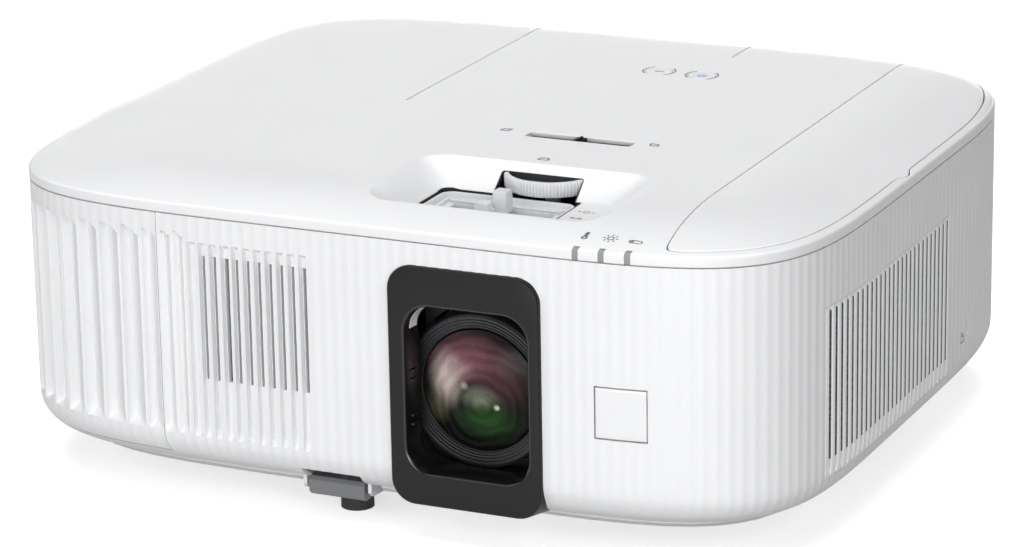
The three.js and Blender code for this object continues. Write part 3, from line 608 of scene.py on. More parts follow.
GRILLE_S = (s_side(GRILLE_Y, -1), s_front(GRILLE_X))
INTAKE_S = (s_side(INTAKE_Y[0], 1), s_side(INTAKE_Y[1], 1))
RIB_SLOT_Z = (INTAKE_Z[0] + 6.0, INTAKE_Z[1] - 2.6)
RIDGE = 0.42                      # flat part of each rib of the filter cover


def intake_channels(s, z):
    """Depth of the filter cover's grooves: flat ridges with deep gaps behind them."""
    f = np.mod((s - INTAKE_S[0]) / FLUTE, 1.0)
    edge = 0.18 * (1 - round_end(f, 0.07))
    down = np.clip((f - RIDGE) / 0.06, 0, 1)
    rise = np.interp(f, [0.84, 0.92, 1.0], [0.0, 0.78, 0.94])
    depth = np.where(f < RIDGE, edge, 2.4 * down * (1 - rise))
    top = INTAKE_Z[1] - 1.2
    foot = INTAKE_Z[0] + 1.5
    ends = round_end(top - z, 2.4) * round_end(z - foot, 5.0)
    within = (s > INTAKE_S[0]) & (s < INTAKE_S[1]) & (z < top) & (z > foot)
    return np.where(within, depth * ends, 0.0)


def relief(s, z):
    """How far the skirt's surface lies under its outline."""
    s = np.where(s > PERIMETER / 2, s - PERIMETER, s)
    plain = flutes(s) * fade(z, SKIRT_Z + 0.5, SKIRT_Z + 6)
    blades = louvres(s, z)
    channels = intake_channels(s, z)
    return np.where(blades > 0, np.maximum(blades, 0.0), np.where(channels > 0, channels, plain))


def merge_lines(fixed, fill, least=0.22):
    """Fixed lines plus the fill lines that don't crowd them."""
    fixed = np.unique(np.round(fixed, 4))
    keep = [v for v in fill if np.min(np.abs(fixed - v)) > least]
    return np.unique(np.concatenate([fixed, keep]))


def wall_patch(name, lines, rows, holes, material, loop=False, thickness=WALL, **more):
    """A stretch of the skirt on a grid of walk distances and heights, with rectangular holes."""
    z = np.array([r[0] for r in rows])
    inset = np.array([r[1] for r in rows])
    angle = angle_of(lines)
    normal = normals_at(angle)[:, None, :]
    base = np.stack([plan_points(angle, i) for i in inset], 1)
    depth = relief(lines[:, None], z[None, :])
    height = np.broadcast_to(z[None, :, None], base.shape[:2] + (1,))
    outer = np.concatenate([base - normal * depth[..., None], height], -1).reshape(-1, 3)
    back = np.maximum(depth, 0) + thickness
    inner = np.concatenate([base - normal * back[..., None], height], -1).reshape(-1, 3)
    n, m = len(lines), len(rows)
    faces = []
    for i in range(n if loop else n - 1):
        j = (i + 1) % n
        mid_s = (lines[i] + (lines[j] if j else lines[0] + PERIMETER)) / 2
        if mid_s > PERIMETER / 2:
            mid_s -= PERIMETER
        here = [h for h in holes if h[0] < mid_s < h[1] or h[0] < mid_s + PERIMETER < h[1]]
        for k in range(m - 1):
            mid_z = (z[k] + z[k + 1]) / 2
            if any(h[2] < mid_z < h[3] for h in here):
                continue
            faces.append((i * m + k, j * m + k, j * m + k + 1, i * m + k + 1))
    verts, faces = thicken(outer, inner, faces)
    used = np.unique(np.concatenate([np.array(f) for f in faces]))
    place = np.full(len(verts), -1)
    place[used] = np.arange(len(used))
    faces = [tuple(place[i] for i in f) for f in faces]
    return make(name, verts[used], faces, material, sharp=24, **more)


PANEL_LOW, PANEL_HIGH = node_box("terminal_panel")
SPEAKER_LOW, SPEAKER_HIGH = node_box("speaker_grille")
LEVER_LOW, LEVER_HIGH = node_box("foot_release_lever")
LEVER_NOTCH_Z = 19.5              # top of the notch in the skirt that the pressed lever moves into
LOCK_Y = (58.6, 61.4)
LOCK_Z = (34.0, 41.0)


def slot_holes():
    holes = []
    for i in range(SLOT_COUNT):
        left, right = EDGES[-2 - i], EDGES[-1 - i]
        width = right - left
        holes.append((left + 0.54 * width, left + 0.97 * width, *SLOT_Z))
    return holes


def cell_lines(parts):
    """Walk distances at given parts of each cell of the front vent."""
    cells = zip(EDGES[:-1], EDGES[1:])
    return [start + (end - start) * t for start, end in cells for t in parts]


def skirt_holes():
    """Openings of the skirt: first and last walk distance, then lowest and highest z."""
    panel = (s_rear(PANEL_HIGH[0] + SEAM), s_rear(PANEL_LOW[0] - SEAM))
    speaker = (s_rear(SPEAKER_HIGH[0] + SEAM), s_rear(SPEAKER_LOW[0] - SEAM))
    lock = (s_side(LOCK_Y[0], 1), s_side(LOCK_Y[1], 1))
    ir = (s_front(IR_X - IR_SIZE / 2 - GAP), s_front(IR_X + IR_SIZE / 2 + GAP))
    well = (s_front(BEZEL_LOW[0] + 3), s_front(BEZEL_HIGH[0] - 3))
    lever = (s_front(LEVER_LOW[0] - 1.0), s_front(LEVER_HIGH[0] + 1.0))
    return slot_holes() + [
        (GRILLE_S[0] - GAP / 2, GRILLE_S[1] + GAP / 2, GRILLE_LOW, 200),
        (*INTAKE_S, INTAKE_Z[0] - SEAM, INTAKE_Z[1] + SEAM),
        (*panel, PANEL_LOW[2] - SEAM, PANEL_HIGH[2] + SEAM),
        (*speaker, SPEAKER_LOW[2] - SEAM, SPEAKER_HIGH[2] + SEAM),
        (*lock, *LOCK_Z),
        (*ir, IR_Z - IR_SIZE / 2 - GAP, IR_Z + IR_SIZE / 2 + GAP),
        (*well, 0.0, BEZEL_HIGH[2] - 3),
        (*lever, 0.0, LEVER_NOTCH_Z),
    ]


def build_skirt():
    holes = skirt_holes()
    sides = [edge for hole in holes for edge in hole[:2]]
    fixed = [v - PERIMETER if v > PERIMETER / 2 else v for v in sides]
    fixed += cell_lines((0.0, 0.14, 0.28, 0.42, 0.5, 0.54, 0.75, 0.97))
    first = math.ceil(-PERIMETER / 2 / FLUTE) * FLUTE_STEPS
    fill = np.arange(first, PERIMETER / 2 / FLUTE * FLUTE_STEPS) * FLUTE / FLUTE_STEPS
    fill = [v for v in fill if not EDGES[0] < v < EDGES[-1]]
    lines = merge_lines(np.array(fixed), fill)
    row_edges = sorted({v for hole in holes for v in hole[2:] if SKIRT_Z < v < SKIRT_TOP})
    plain = [r for r in skirt_rows() if min(abs(r[0] - v) for v in row_edges) > 0.25]
    rows = sorted(plain + [(v, inset_at(v)) for v in row_edges])
    wall_patch("lower_case_skirt", lines, rows, holes, MATERIALS["white"], loop=True,
               slot="white_plastic", replaces=("lower_case",))


def build_exhaust_grille():
    """The vent piece that wraps the front left corner."""
    inner = cell_lines((0.0, 0.07, 0.142, 0.19, 0.24, 0.34, 0.45, 0.56, 0.67, 0.78, 0.89, 0.985))
    edge = [GRILLE_S[0] + GAP / 2, GRILLE_S[1] - GAP / 2]
    fill = np.arange(edge[0], edge[1], FLUTE / FLUTE_STEPS)
    inner = [v for v in inner if edge[0] < v < edge[1]]
    lines = merge_lines(np.array(edge + inner), [v for v in fill if v < EDGES[0]], 0.2)
    foot = GRILLE_LOW + GAP
    rows = [(foot, inset_at(foot))] + [r for r in skirt_rows() if r[0] > foot]
    arch = np.concatenate([np.arange(100.2, 107.6, 0.45), np.arange(28.2, 33.0, 0.5)])
    rows = [r for r in rows if np.min(np.abs(arch - r[0])) > 0.2] + [(z, inset_at(z)) for z in arch]
    rows.sort()
    wall_patch("exhaust_grille_blades", lines, rows, [], MATERIALS["white"],
               slot="white_plastic", replaces=("exhaust_grille",))


def build_filter_cover():
    """The filter cover low on the right side, with open slots between its ribs."""
    cells = np.arange(INTAKE_S[0], INTAKE_S[1], FLUTE)
    parts = (0.0, 0.03, 0.08, 0.25, 0.41, 0.48, 0.54, 0.84, 0.92, 0.97)
    inner = [c + FLUTE * t for c in cells for t in parts]
    edge = [INTAKE_S[0] + SEAM, INTAKE_S[1] - SEAM]
    lines = merge_lines(np.array(edge), [v for v in inner if edge[0] < v < edge[1]], 0.05)
    low, high = RIB_SLOT_Z
    slots = [(c + FLUTE * 0.54, c + FLUTE * 0.92, low, high) for c in cells]
    rows = [r for r in skirt_rows() if INTAKE_Z[0] + 0.3 < r[0] < INTAKE_Z[1] - 0.3]
    extra = [(z, inset_at(z)) for z in (INTAKE_Z[0] + SEAM, low, high, INTAKE_Z[1] - SEAM)]
    wall_patch("air_filter_cover_ribs", lines, sorted(rows + extra), slots, MATERIALS["white"],
               body="air_filter_body", slot="white_plastic", replaces=("air_filter_cover",))


def build_dust_mesh():
    """Dark dust mesh just behind the gaps between the filter cover's ribs."""
    walk = np.linspace(INTAKE_S[0] + 1, INTAKE_S[1] - 1, 40)
    angle = angle_of(walk)
    low, high = RIB_SLOT_Z[0] + 1, RIB_SLOT_Z[1] + 0.5
    corners = [np.column_stack([plan_points(angle, inset), np.full(len(walk), z)])
               for inset, z in ((0.45, low), (0.45, high), (1.1, high), (1.1, low))]
    faces = bar_faces(len(walk), ((1, 0), (2, 1), (3, 2), (0, 3)))
    make("air_filter_dust_mesh", np.concatenate(corners), faces, MATERIALS["foam"],
         body="air_filter_body", slot="filter_foam")


def build_exhaust_screen():
    """Dark screen behind the open slots at the front."""
    left, right = SLOT_X - SLOT_COUNT * SLOT_PITCH - 2, SLOT_X + 4
    y = FRONT_Y + 7.5
    screen = Shape().box(left, right, y, y + 0.8, SLOT_Z[0] - 3, SLOT_Z[1] + 3)
    screen.make("exhaust_screen", MATERIALS["black"], slot="black_plastic")


def inset_at(z):
    """How far the skirt's outline is drawn in at a height."""
    last = math.acos(1 - ROLL_INSET / ROLL)
    top = SKIRT_Z + ROLL * math.sin(last)
    if z >= top:
        return 0.0
    return ROLL * (1 - math.sqrt(max(0.0, 1 - ((top - z) / ROLL) ** 2)))


# ---- lid ------------------------------------------------------------------------------------

RECESS = dict(x=38, y=-93, width=96, height=60, r=12)
RECESS_FLOOR = dict(x=39.5, y=-98, width=73, height=42, r=8)
RECESS_Z = 115.0
WINDOW = dict(x=31.5, y=-92.5, width=57, height=31, r=5)
WHEEL_X, WHEEL_Y, WHEEL_R = 40.4, -59.8, 18.5
TRAY_GAP = 0.9
NOTCH_TAPER = 0.5                 # leftward slant of the notch's right end, and twice that of its left
KEY = dict(x=36.4, y=-25, width=44.0, height=6.7, r=1.3)
BUTTONS = {"source": (24.4, 83.6), "power": (43.4, 83.1)}
BUTTON_R = 6.0
COVER_X, COVER_FRONT_X, COVER_TURN_Y, COVER_INSET = 113.0, 119.0, -69.0, 4.0
TAB_Y = (-14.5, -6.0)             # the lamp cover's pull tab on the right side
TAB_REACH = 2.5
COVER_GAP = 0.45


def inset_of(p):
    """The inset whose outline passes through each point."""
    x, y = np.abs(p[:, 0]), np.abs(p[:, 1] - MIDDLE_Y)
    low, high = np.full(len(p), -2.0), np.full(len(p), HALF_Y - 1.0)
    for _ in range(34):
        mid = (low + high) / 2
        out = (x / (HALF_X - mid)) ** POWER + (y / (HALF_Y - mid)) ** POWER > 1
        high = np.where(out, mid, high)
        low = np.where(out, low, mid)
    return (low + high) / 2


def dome(inset):
    return LIP_Z + (CROWN_Z - LIP_Z) * (1 - (1 - np.clip(inset / DOME_RUN, 0, 1)) ** 2)


def shoulder(inset):
    run = np.clip((SHOULDER_RUN - inset) / SHOULDER_RUN, 0, 1)
    return SEAM_Z + SHOULDER_RISE * (1 - run ** SHOULDER_POWERS[0]) ** (1 / SHOULDER_POWERS[1])


def rect_distance(p, x, y, width, height, r):
    q = np.abs(p - np.array([x, y])) - np.array([width / 2 - r, height / 2 - r])
    outside = np.linalg.norm(np.maximum(q, 0), axis=1)
    return outside + np.minimum(np.max(q, axis=1), 0) - r


def crown(p):
    """Height of the lid's plain surface: low at the front and right, fuller at the left and rear."""
    inset = inset_of(p)
    full = np.clip((p[:, 1] - 0.55 * p[:, 0] + 30) / 80, 0, 1)
    full = full * full * (3 - 2 * full)
    return dome(inset) * (1 - full) + shoulder(inset) * full


def slope_normals(height, p, step=0.05):
    """Exact normals of a height function."""
    dx, dy = np.array([step, 0]), np.array([0, step])
    gx = (height(p + dx) - height(p - dx)) / (2 * step)
    gy = (height(p + dy) - height(p - dy)) / (2 * step)
    n = np.stack([-gx, -gy, np.ones(len(p))], -1)
    return n / np.linalg.norm(n, axis=1, keepdims=True)


def lid_height(p):
    top = crown(p)
    rim = rect_distance(p, **RECESS)
    floor = rect_distance(p, **RECESS_FLOOR)
    f = np.clip(floor / np.maximum(floor - rim, 1e-6), 0, 1)
    f = np.where(floor <= 0, 0.0, f)
    ease = 0.8 * f + 0.2 * f * f * (3 - 2 * f)
    return np.where(rim < 0, RECESS_Z + (top - RECESS_Z) * ease, top)


def cover_loop(grow):
    """The lamp cover's outline: straight inner edge, bent front, case outline with a pull tab."""

    def seam_at(y):
        return COVER_X - grow + (COVER_FRONT_X - COVER_X) * np.clip((COVER_TURN_Y - y) / 75, 0, 1) ** 2

    angles = np.linspace(-math.pi / 2, math.pi / 2, 1441)
    plain = plan_points(angles, COVER_INSET - grow)
    tab = fade(plain[:, 1], TAB_Y[0], TAB_Y[0] + 1) * (1 - fade(plain[:, 1], TAB_Y[1] - 1, TAB_Y[1]))
    tab = tab * (plain[:, 0] > 120)
    ring = np.array([plan_points(np.array([a]), COVER_INSET - grow - TAB_REACH * t)[0]
                     for a, t in zip(angles, tab)])
    ring = ring[ring[:, 0] > seam_at(ring[:, 1]) + 0.02]
    ring = ring[::4]
    first, last = ring[0], ring[-1]
    y = np.linspace(last[1] - 0.4, first[1] + 0.4, 60)
    inner = np.column_stack([seam_at(y), y])
    return soften(np.concatenate([ring, inner]), 1.5)


def soften(loop, radius, rounds=12):
    """Rounds the sharp corners of a closed loop after spacing it evenly."""
    closed = np.concatenate([loop, loop[:1]])
    walk = np.concatenate([[0], np.cumsum(np.linalg.norm(np.diff(closed, axis=0), axis=1))])
    count = int(walk[-1] / 1.6)
    even = np.linspace(0, walk[-1], count, endpoint=False)
    points = np.column_stack([np.interp(even, walk, closed[:, 0]), np.interp(even, walk, closed[:, 1])])
    for _ in range(int(rounds * radius / 3)):
        points = (np.roll(points, 1, 0) + 2 * points + np.roll(points, -1, 0)) / 4
    return points


def window_loop():
    """The control window with the notch that the thumbwheel comes through."""
    x0, x1 = WINDOW["x"] - WINDOW["width"] / 2, WINDOW["x"] + WINDOW["width"] / 2
    y0, y1 = WINDOW["y"] - WINDOW["height"] / 2, WINDOW["y"] + WINDOW["height"] / 2
    r = WINDOW["r"]
    left, right, back = 23.2, 57.4, -67.3
    points = []

    def arc(cx, cy, radius, start, end, steps=6):
        for i in range(steps + 1):
            a = math.radians(start + (end - start) * i / steps)
            points.append((cx + radius * math.cos(a), cy + radius * math.sin(a)))

    arc(x1 - r, y0 + r, r, -90, 0)
    arc(x1 - 1, y1 - 1, 1.0, 0, 90)
    points.append((right, y1))
    arc(right - NOTCH_TAPER - 1.2, back - 1.2, 1.2, 0, 90)
    arc(left - NOTCH_TAPER / 2 + 1.2, back - 1.2, 1.2, 90, 180)
    points.append((left, y1))
    arc(x0 + r, y1 - r, r, 90, 180)
    arc(x0 + r, y0 + r, r, 180, 270)
    return np.array(points)


def dense(loop, step=1.2):
    """A closed loop with more points along its long stretches."""
    out = []
    for a, b in zip(loop, np.roll(loop, -1, 0)):
        n = max(1, int(np.linalg.norm(b - a) / step))
        out.extend(a + (b - a) * i / n for i in range(n))
    return np.array(out)


def sheet_mesh(outer, holes, inner_loops, lines, fill):
    """Triangles over an outline with holes, meeting every given loop and line."""
    points, edges = [], []

    def chain(loop, closed):
        start = len(points)
        points.extend([Vector((float(x), float(y))) for x, y in loop])
        n = len(loop)
        edges.extend((start + i, start + (i + 1) % n) for i in range(n if closed else n - 1))

    for loop in [outer, *holes, *inner_loops]:
        chain(loop, True)
    for line in lines:
        chain(line, False)
    keep = inside(fill, outer)
    for hole in holes:
        keep &= ~inside(fill, hole)
    points.extend([Vector((float(x), float(y))) for x, y in fill[keep]])
    verts, _, faces, _, _, _ = delaunay_2d_cdt(points, edges, [], 0, 1e-5)
    flat = np.array([(v.x, v.y) for v in verts])
    tri = np.array([f for f in faces if len(f) == 3])
    centre = flat[tri].mean(axis=1)
    keep = inside(centre, outer)
    for hole in holes:
        keep &= ~inside(centre, hole)
    tri = tri[keep]
    a, b, c = flat[tri[:, 0]], flat[tri[:, 1]], flat[tri[:, 2]]
    area = (b[:, 0] - a[:, 0]) * (c[:, 1] - a[:, 1]) - (b[:, 1] - a[:, 1]) * (c[:, 0] - a[:, 0])
    tri = tri[np.abs(area) > 1e-7]
    area = area[np.abs(area) > 1e-7]
    tri[area < 0] = tri[area < 0][:, ::-1]
    used = np.unique(tri)
    place = np.full(len(flat), -1)
    place[used] = np.arange(len(used))
    return flat[used], place[tri]


def near_loop(p, loop, distance=0.02):
    """Which points lie on a loop."""
    a, b = loop, np.roll(loop, -1, 0)
    d = b - a
    hit = np.zeros(len(p), bool)
    for start, run in zip(a, d):
        length = max(float(run @ run), 1e-12)
        t = np.clip(((p - start) @ run) / length, 0, 1)
        gap = p - start - t[:, None] * run
        hit |= (gap ** 2).sum(axis=1) < distance ** 2
    return hit


def grid_points(x0, x1, y0, y1, step):
    xs, ys = np.arange(x0, x1, step), np.arange(y0, y1, step)
    gx, gy = np.meshgrid(xs, ys)
    gx[1::2] += step / 2
    return np.column_stack([gx.ravel(), gy.ravel()])


GROOVES = [
    ((-52.4, 4.0), (-52.4, 139.5)),
    ((44.0, 114.0), (44.0, 139.5)),
]


def surface_normals(height, flat, faces, plain):
    """Exact corner normals for the faces whose corners all lie on the plain surface."""
    normal = slope_normals(height, flat)
    return {i: [normal[v] for v in f] for i, f in enumerate(faces) if all(plain[v] for v in f)}


def lip_rows(z_rim):
    """Inset and height down the lid's lip, from the rim to the seam."""
    rows = []
    for k in range(1, 7):
        a = math.radians(15 * k)
        rows.append((RIM_INSET * (1 - math.sin(a)), z_rim - RIM_DROP * (1 - math.cos(a))))
    rows += [(0.0, (z_rim - RIM_DROP + SEAM_Z) / 2), (0.0, SEAM_Z + 0.55), (0.3, SEAM_Z + 0.2)]
    return rows


def build_lid():
    angles = np.linspace(-math.pi, math.pi, 721)[:-1]
    outer = plan_points(angles, RIM_INSET)
    seam = cover_loop(COVER_GAP)
    circles = [circle(*BUTTONS[k], BUTTON_R, 48) for k in BUTTONS]
    key = rounded(**KEY, steps=8)
    window = dense(window_loop(), 1.0)
    holes = [seam, *circles, key, window]
    loops = [plan_points(angles[::2], i) for i in (2.6, 5.5, 8.0, 12.0, 17.0, 24.0)]
    loops += [offset_loop(hole, 0.45) for hole in holes]
    loops += [dense(rounded(**RECESS, steps=10), 2.0), dense(rounded(**RECESS_FLOOR, steps=8), 1.5)]
    lines = []
    for (x0, y0), (_, y1) in GROOVES:
        for shift in (-0.5, -0.25, 0.25, 0.5):
            y = np.linspace(y0, y1, 40)
            lines.append(np.column_stack([np.full(40, x0 + shift), y]))
    coarse = grid_points(-HALF_X, HALF_X, FRONT_Y, REAR_Y, 6.0)
    fine = grid_points(-18, 94, -128, -58, 1.5)
    zone = rect_distance(coarse, 38, -93, 112, 70, 5) > 0
    flat, tri = sheet_mesh(outer, holes, loops, lines, np.concatenate([coarse[zone], fine]))
    z = lid_height(flat)
    plain = np.ones(len(flat), bool)
    for hole in holes:
        edge = near_loop(flat, hole)
        z[edge] -= EDGE_DROP
        plain &= ~edge
    for (x0, y0), (_, y1) in GROOVES:
        low = (np.abs(flat[:, 0] - x0) < 0.3) & (flat[:, 1] > y0 + 1) & (flat[:, 1] < y1 - 0.5)
        z[low] -= 1.1
        plain &= ~low
    rim = near_loop(flat, outer)
    top = [tuple(f) for f in tri]
    normals = surface_normals(lid_height, flat, top, plain)
    verts = [(x, y, h) for (x, y), h in zip(flat, z)]
    low = [(x, y, h - LID_WALL) for x, y, h in verts]
    faces = list(top)
    order = sorted(np.flatnonzero(rim), key=lambda i: math.atan2(flat[i, 1] - MIDDLE_Y, flat[i, 0]))
    rim_edges = list(zip(order, order[1:] + order[:1]))
    columns = {}

    def column(i):
        if i not in columns:
            angle = math.atan2(flat[i, 1] - MIDDLE_Y, flat[i, 0])
            ids = [i]
            back = plan_points(np.array([angle]), RIM_INSET + 1.0)[0]
            for inset, height in lip_rows(z[i]):
                p = plan_points(np.array([angle]), inset)[0]
                ids.append(len(verts))
                verts.append((p[0], p[1], height))
                low.append((back[0], back[1], min(height, z[i] - LID_WALL)))
            columns[i] = ids
        return columns[i]

    for a, b in rim_edges:
        ca, cb = column(a), column(b)
        for k in range(len(ca) - 1):
            faces.append((cb[k], ca[k], ca[k + 1], cb[k + 1]))
    verts, faces = thicken(np.array(verts), np.array(low), faces)
    make("upper_case_lid", verts, faces, MATERIALS["white"], sharp=32, slot="white_plastic",
         replaces=("upper_case",), normals=normals)


def build_cover():
    outer = cover_loop(0.0)
    inner = offset_loop(outer, -0.45)
    angles = np.linspace(-math.pi, math.pi, 721)[:-1]
    loops = [inner] + [plan_points(angles[::2], i) for i in (8.0, 12.0, 17.0, 24.0)]
    fill = grid_points(COVER_X - 2, HALF_X, FRONT_Y, REAR_Y, 5.0)
    flat, tri = sheet_mesh(outer, [], loops, [], fill)
    z = crown(flat)
    edge = near_loop(flat, outer)
    z[edge] -= EDGE_DROP
    top = [tuple(f) for f in tri]
    normals = surface_normals(crown, flat, top, ~edge)
    upper = np.column_stack([flat, z])
    lower = upper - np.array([0, 0, LID_WALL])
    verts, faces = thicken(upper, lower, top)
    make("lamp_cover_panel", verts, faces, MATERIALS["white"], body="lamp_cover_body", sharp=32,
         slot="white_plastic", replaces=("lamp_cover",), normals=normals)


# ---- bezel and lens -------------------------------------------------------------------------

BAFFLE_Y = (-121.5, -119.5)
BAFFLE_R = 31.4                   # opening of the baffle round the lens
CORNER_X, CORNER_Z = 25.5, 79.0   # the painted highlight strip lies left of and above this point


def build_bezel():
    front, back = BEZEL_LOW[1], BEZEL_HIGH[1]
    x, z = (BEZEL_LOW[0] + BEZEL_HIGH[0]) / 2, (BEZEL_LOW[2] + BEZEL_HIGH[2]) / 2
    width, height = BEZEL_HIGH[0] - BEZEL_LOW[0], BEZEL_HIGH[2] - BEZEL_LOW[2]
    hole = dict(x=43.25, z=58.55, width=49.0, height=64.0, r=10.0)

    def outer(inset, y):
        return front_loop(rounded(x, z, width - 2 * inset, height - 2 * inset, 9.5 - inset, 12), y)

    def inner(grow, y):
        return front_loop(rounded(hole["x"], hole["z"], hole["width"] + 2 * grow, hole["height"] + 2 * grow,
                                  hole["r"] + grow, 12), y)

    rear = outer(0.0, back)
    square = front_loop(rounded(x, z, width, height, 1.5, 12), back)
    rear = np.where(rear[:, 2:] < z, square, rear)
    rear[:, 1] += 6.0 * np.clip((27.0 - rear[:, 2]) / 13.5, 0, 1) ** 1.6
    loops = [rear, outer(0.0, front + 0.9), outer(0.12, front + 0.45), outer(0.4, front + 0.12),
             outer(0.8, front), inner(1.1, front)]
    face = Shape().rings(loops, cap_start=False, cap_end=False)
    face.make("lens_bezel_face", MATERIALS["charcoal"], slot="charcoal_plastic", replaces=("lens_bezel",))
    loops = [inner(1.1, front), inner(0.75, front + 0.08), inner(0.3, front + 0.45), inner(0.0, front + 1.2),
             inner(-0.5, front + 3.2), inner(-0.9, front + 7.5), inner(-1.0, back), inner(4.0, back)]
    well = Shape().rings(loops, False, False)
    well.make("lens_bezel_well", MATERIALS["gloss"], slot="charcoal_plastic")
    # Baffle between the opening and the lens.
    wide = rounded(hole["x"], hole["z"], hole["width"] + 6, hole["height"] + 6, 12, 12)
    run = wide - np.array([LENS_X, LENS_Z])
    round_hole = np.array([LENS_X, LENS_Z]) + BAFFLE_R * run / np.linalg.norm(run, axis=1, keepdims=True)
    near_y, far_y = BAFFLE_Y
    rings = [front_loop(wide, near_y), front_loop(round_hole, near_y), front_loop(round_hole, far_y),
             front_loop(wide, far_y)]
    baffle = Shape().rings(rings + [rings[0]], False, False)
    baffle.make("lens_well_baffle", MATERIALS["black"], slot="black_plastic")
    # Pale strip in the well's upper left corner, a painted highlight on its curved wall.
    near, far = inner(-0.62, front + 3.4), inner(-1.12, front + 8.6)
    part = [i for i in range(len(near)) if near[i, 0] < CORNER_X and near[i, 2] > CORNER_Z]
    near, far = near[part], far[part]
    n = len(part)
    inward = np.array([0.1, 0, -0.1])
    corners = np.concatenate([near, far, near - inward, far - inward])
    faces = [(a * n + i, a * n + i + 1, b * n + i + 1, b * n + i)
             for a, b in ((0, 1), (1, 3), (3, 2), (2, 0)) for i in range(n - 1)]
    faces += [(0, n, 3 * n, 2 * n), (3 * n - 1, 4 * n - 1, 2 * n - 1, n - 1)]
    make("lens_well_painted_highlight", corners, faces, MATERIALS["tray"], slot="tray_white")
    # Guide ribs on the well's left wall.
    ribs = Shape()
    for z0 in (64.0, 60.5, 47.0, 43.5):
        ribs.box(19.2, 20.2, front + 3.5, front + 7.5, z0 - 0.5, z0 + 0.5)
    bevel(ribs.make("lens_bezel_ribs", MATERIALS["ring"], slot="charcoal_plastic"), 0.15)


LENS_RINGS = [29.0, 27.6, 26.4, 25.3, 24.4]    # radii of the steps round the front glass
GLASS_R = 23.05
GLASS_SWELL = 4.5


def build_lens():
    low, high = node_box("front_lens_cell")
    front, back = low[1], high[1] - 0.2
    profile = [(29.9, back), (29.9, front + 1.4), (29.7, front + 0.7), (29.3, front + 0.2)]
    for i, r in enumerate(LENS_RINGS):
        depth = front + 0.05 + 0.16 * i
        profile += [(r, depth), (r - 0.18, depth + 0.55), (r - 0.5, depth + 0.55), (r - 0.62, depth + 0.12)]
    profile += [(23.7, front + 0.9), (23.45, front + 1.3), (23.4, back)]
    loops = turned_loops(profile, 128)
    shape = Shape().rings(loops + [loops[0]], False, False)
    shape.make("front_lens_cell_rings", MATERIALS["ring"], body="focus_group", slot="black_plastic",
               replaces=("front_lens_cell",))
    low, high = node_box("front_lens_element")
    rim = low[1] + GLASS_SWELL
    steps = 20
    profile = []
    for i in range(steps + 1):
        q = 1 - i / steps
        profile.append((max(GLASS_R * q, 0.02), rim - GLASS_SWELL * (1 - q * q)))
    profile = profile[::-1] + [(GLASS_R, rim + 1.5), (GLASS_R - 1.2, rim + 5.5), (0.02, high[1])]
    glass = Shape().rings(turned_loops(profile, 96))
    glass.make("front_lens_glass", MATERIALS["glass"], body="focus_group", slot="coated_glass",
               replaces=("front_lens_element",))


def build_front_window():
    """A square tile that follows the bowed front, with a dark line left round it: a black plate behind the
    gap paints the shade there.
    """
    half = IR_SIZE / 2 - 0.25
    middle = np.linspace(-half + 1.5, half - 1.5, 9)
    steps = [-half, -half + 0.12, -half + 0.3, *middle, half - 0.3, half - 0.12, half]
    edge = {0: 0.3, 1: 0.1, 2: 0.03}
    outer = []
    n = len(steps)
    for i, dx in enumerate(steps):
        for k, dz in enumerate(steps):
            sink = max(edge.get(min(i, n - 1 - i), 0.0), edge.get(min(k, n - 1 - k), 0.0))
            outer.append((IR_X + dx, front_at(IR_X + dx, 0.0) + 0.05 + sink, IR_Z + dz))
    outer = np.array(outer)
    faces = [(i * n + k, (i + 1) * n + k, (i + 1) * n + k + 1, i * n + k + 1)
             for i in range(n - 1) for k in range(n - 1)]
    verts, faces = thicken(outer, outer + np.array([0, 1.6, 0]), faces)
    make("front_infrared_tile", verts, faces, MATERIALS["window"], slot="window_plastic",
         replaces=("front_infrared_window",))
    # Black plate behind the gap round the tile: painted shade that darkens the gap.
    reach = half + 1.2
    y = front_at(IR_X - reach, 0.0)
    ir_shade_plate = Shape().box(IR_X - reach, IR_X + reach, y + 3.6, y + 5.0, IR_Z - reach, IR_Z + reach)
    ir_shade_plate.make("front_infrared_shade_plate", MATERIALS["black"], slot="black_plastic")


# ---- controls on the lid --------------------------------------------------------------------


def build_wheel():
    """Ribbed thumbwheel on its shaft."""
    bottom, top = 115.1, node_box("zoom_thumbwheel")[1][2]
    ribs, steps = 84, 8
    t = np.arange(ribs * steps) / (ribs * steps) * 2 * math.pi
    wave = 1 - (0.5 + 0.5 * np.cos(t * ribs)) ** 2.5
    loops = []
    for inset, depth, z in ((2.0, 0, bottom + 0.0), (0.5, 0.2, bottom + 0.1), (0.12, 0.6, bottom + 0.6),
                            (0.0, 0.7, bottom + 1.0), (0.0, 0.7, top - 1.0), (0.12, 0.6, top - 0.6),
                            (0.5, 0.2, top - 0.12), (1.0, 0, top), (1.8, 0, top), (2.2, 0, top - 2.6),
                            (15.0, 0, top - 2.6)):
        r = WHEEL_R - inset - depth * (1 - wave)
        x, y = WHEEL_X + r * np.cos(t), WHEEL_Y + r * np.sin(t)
        loops.append(np.column_stack([x, y, np.full(len(t), z)]))
    shape = Shape().rings(loops)
    shape.rings(column_loops([(3, 88), (3, bottom + 0.2)], WHEEL_X, WHEEL_Y, 32))
    shape.rings(column_loops([(7.2, 84), (7.7, 84.5), (7.7, 88.5), (7.2, 89)], WHEEL_X, WHEEL_Y, 48))
    shape.make("zoom_thumbwheel_ribbed", MATERIALS["tray"], body="zoom_wheel_body", sharp=35,
               slot="tray_white", replaces=("zoom_thumbwheel",))


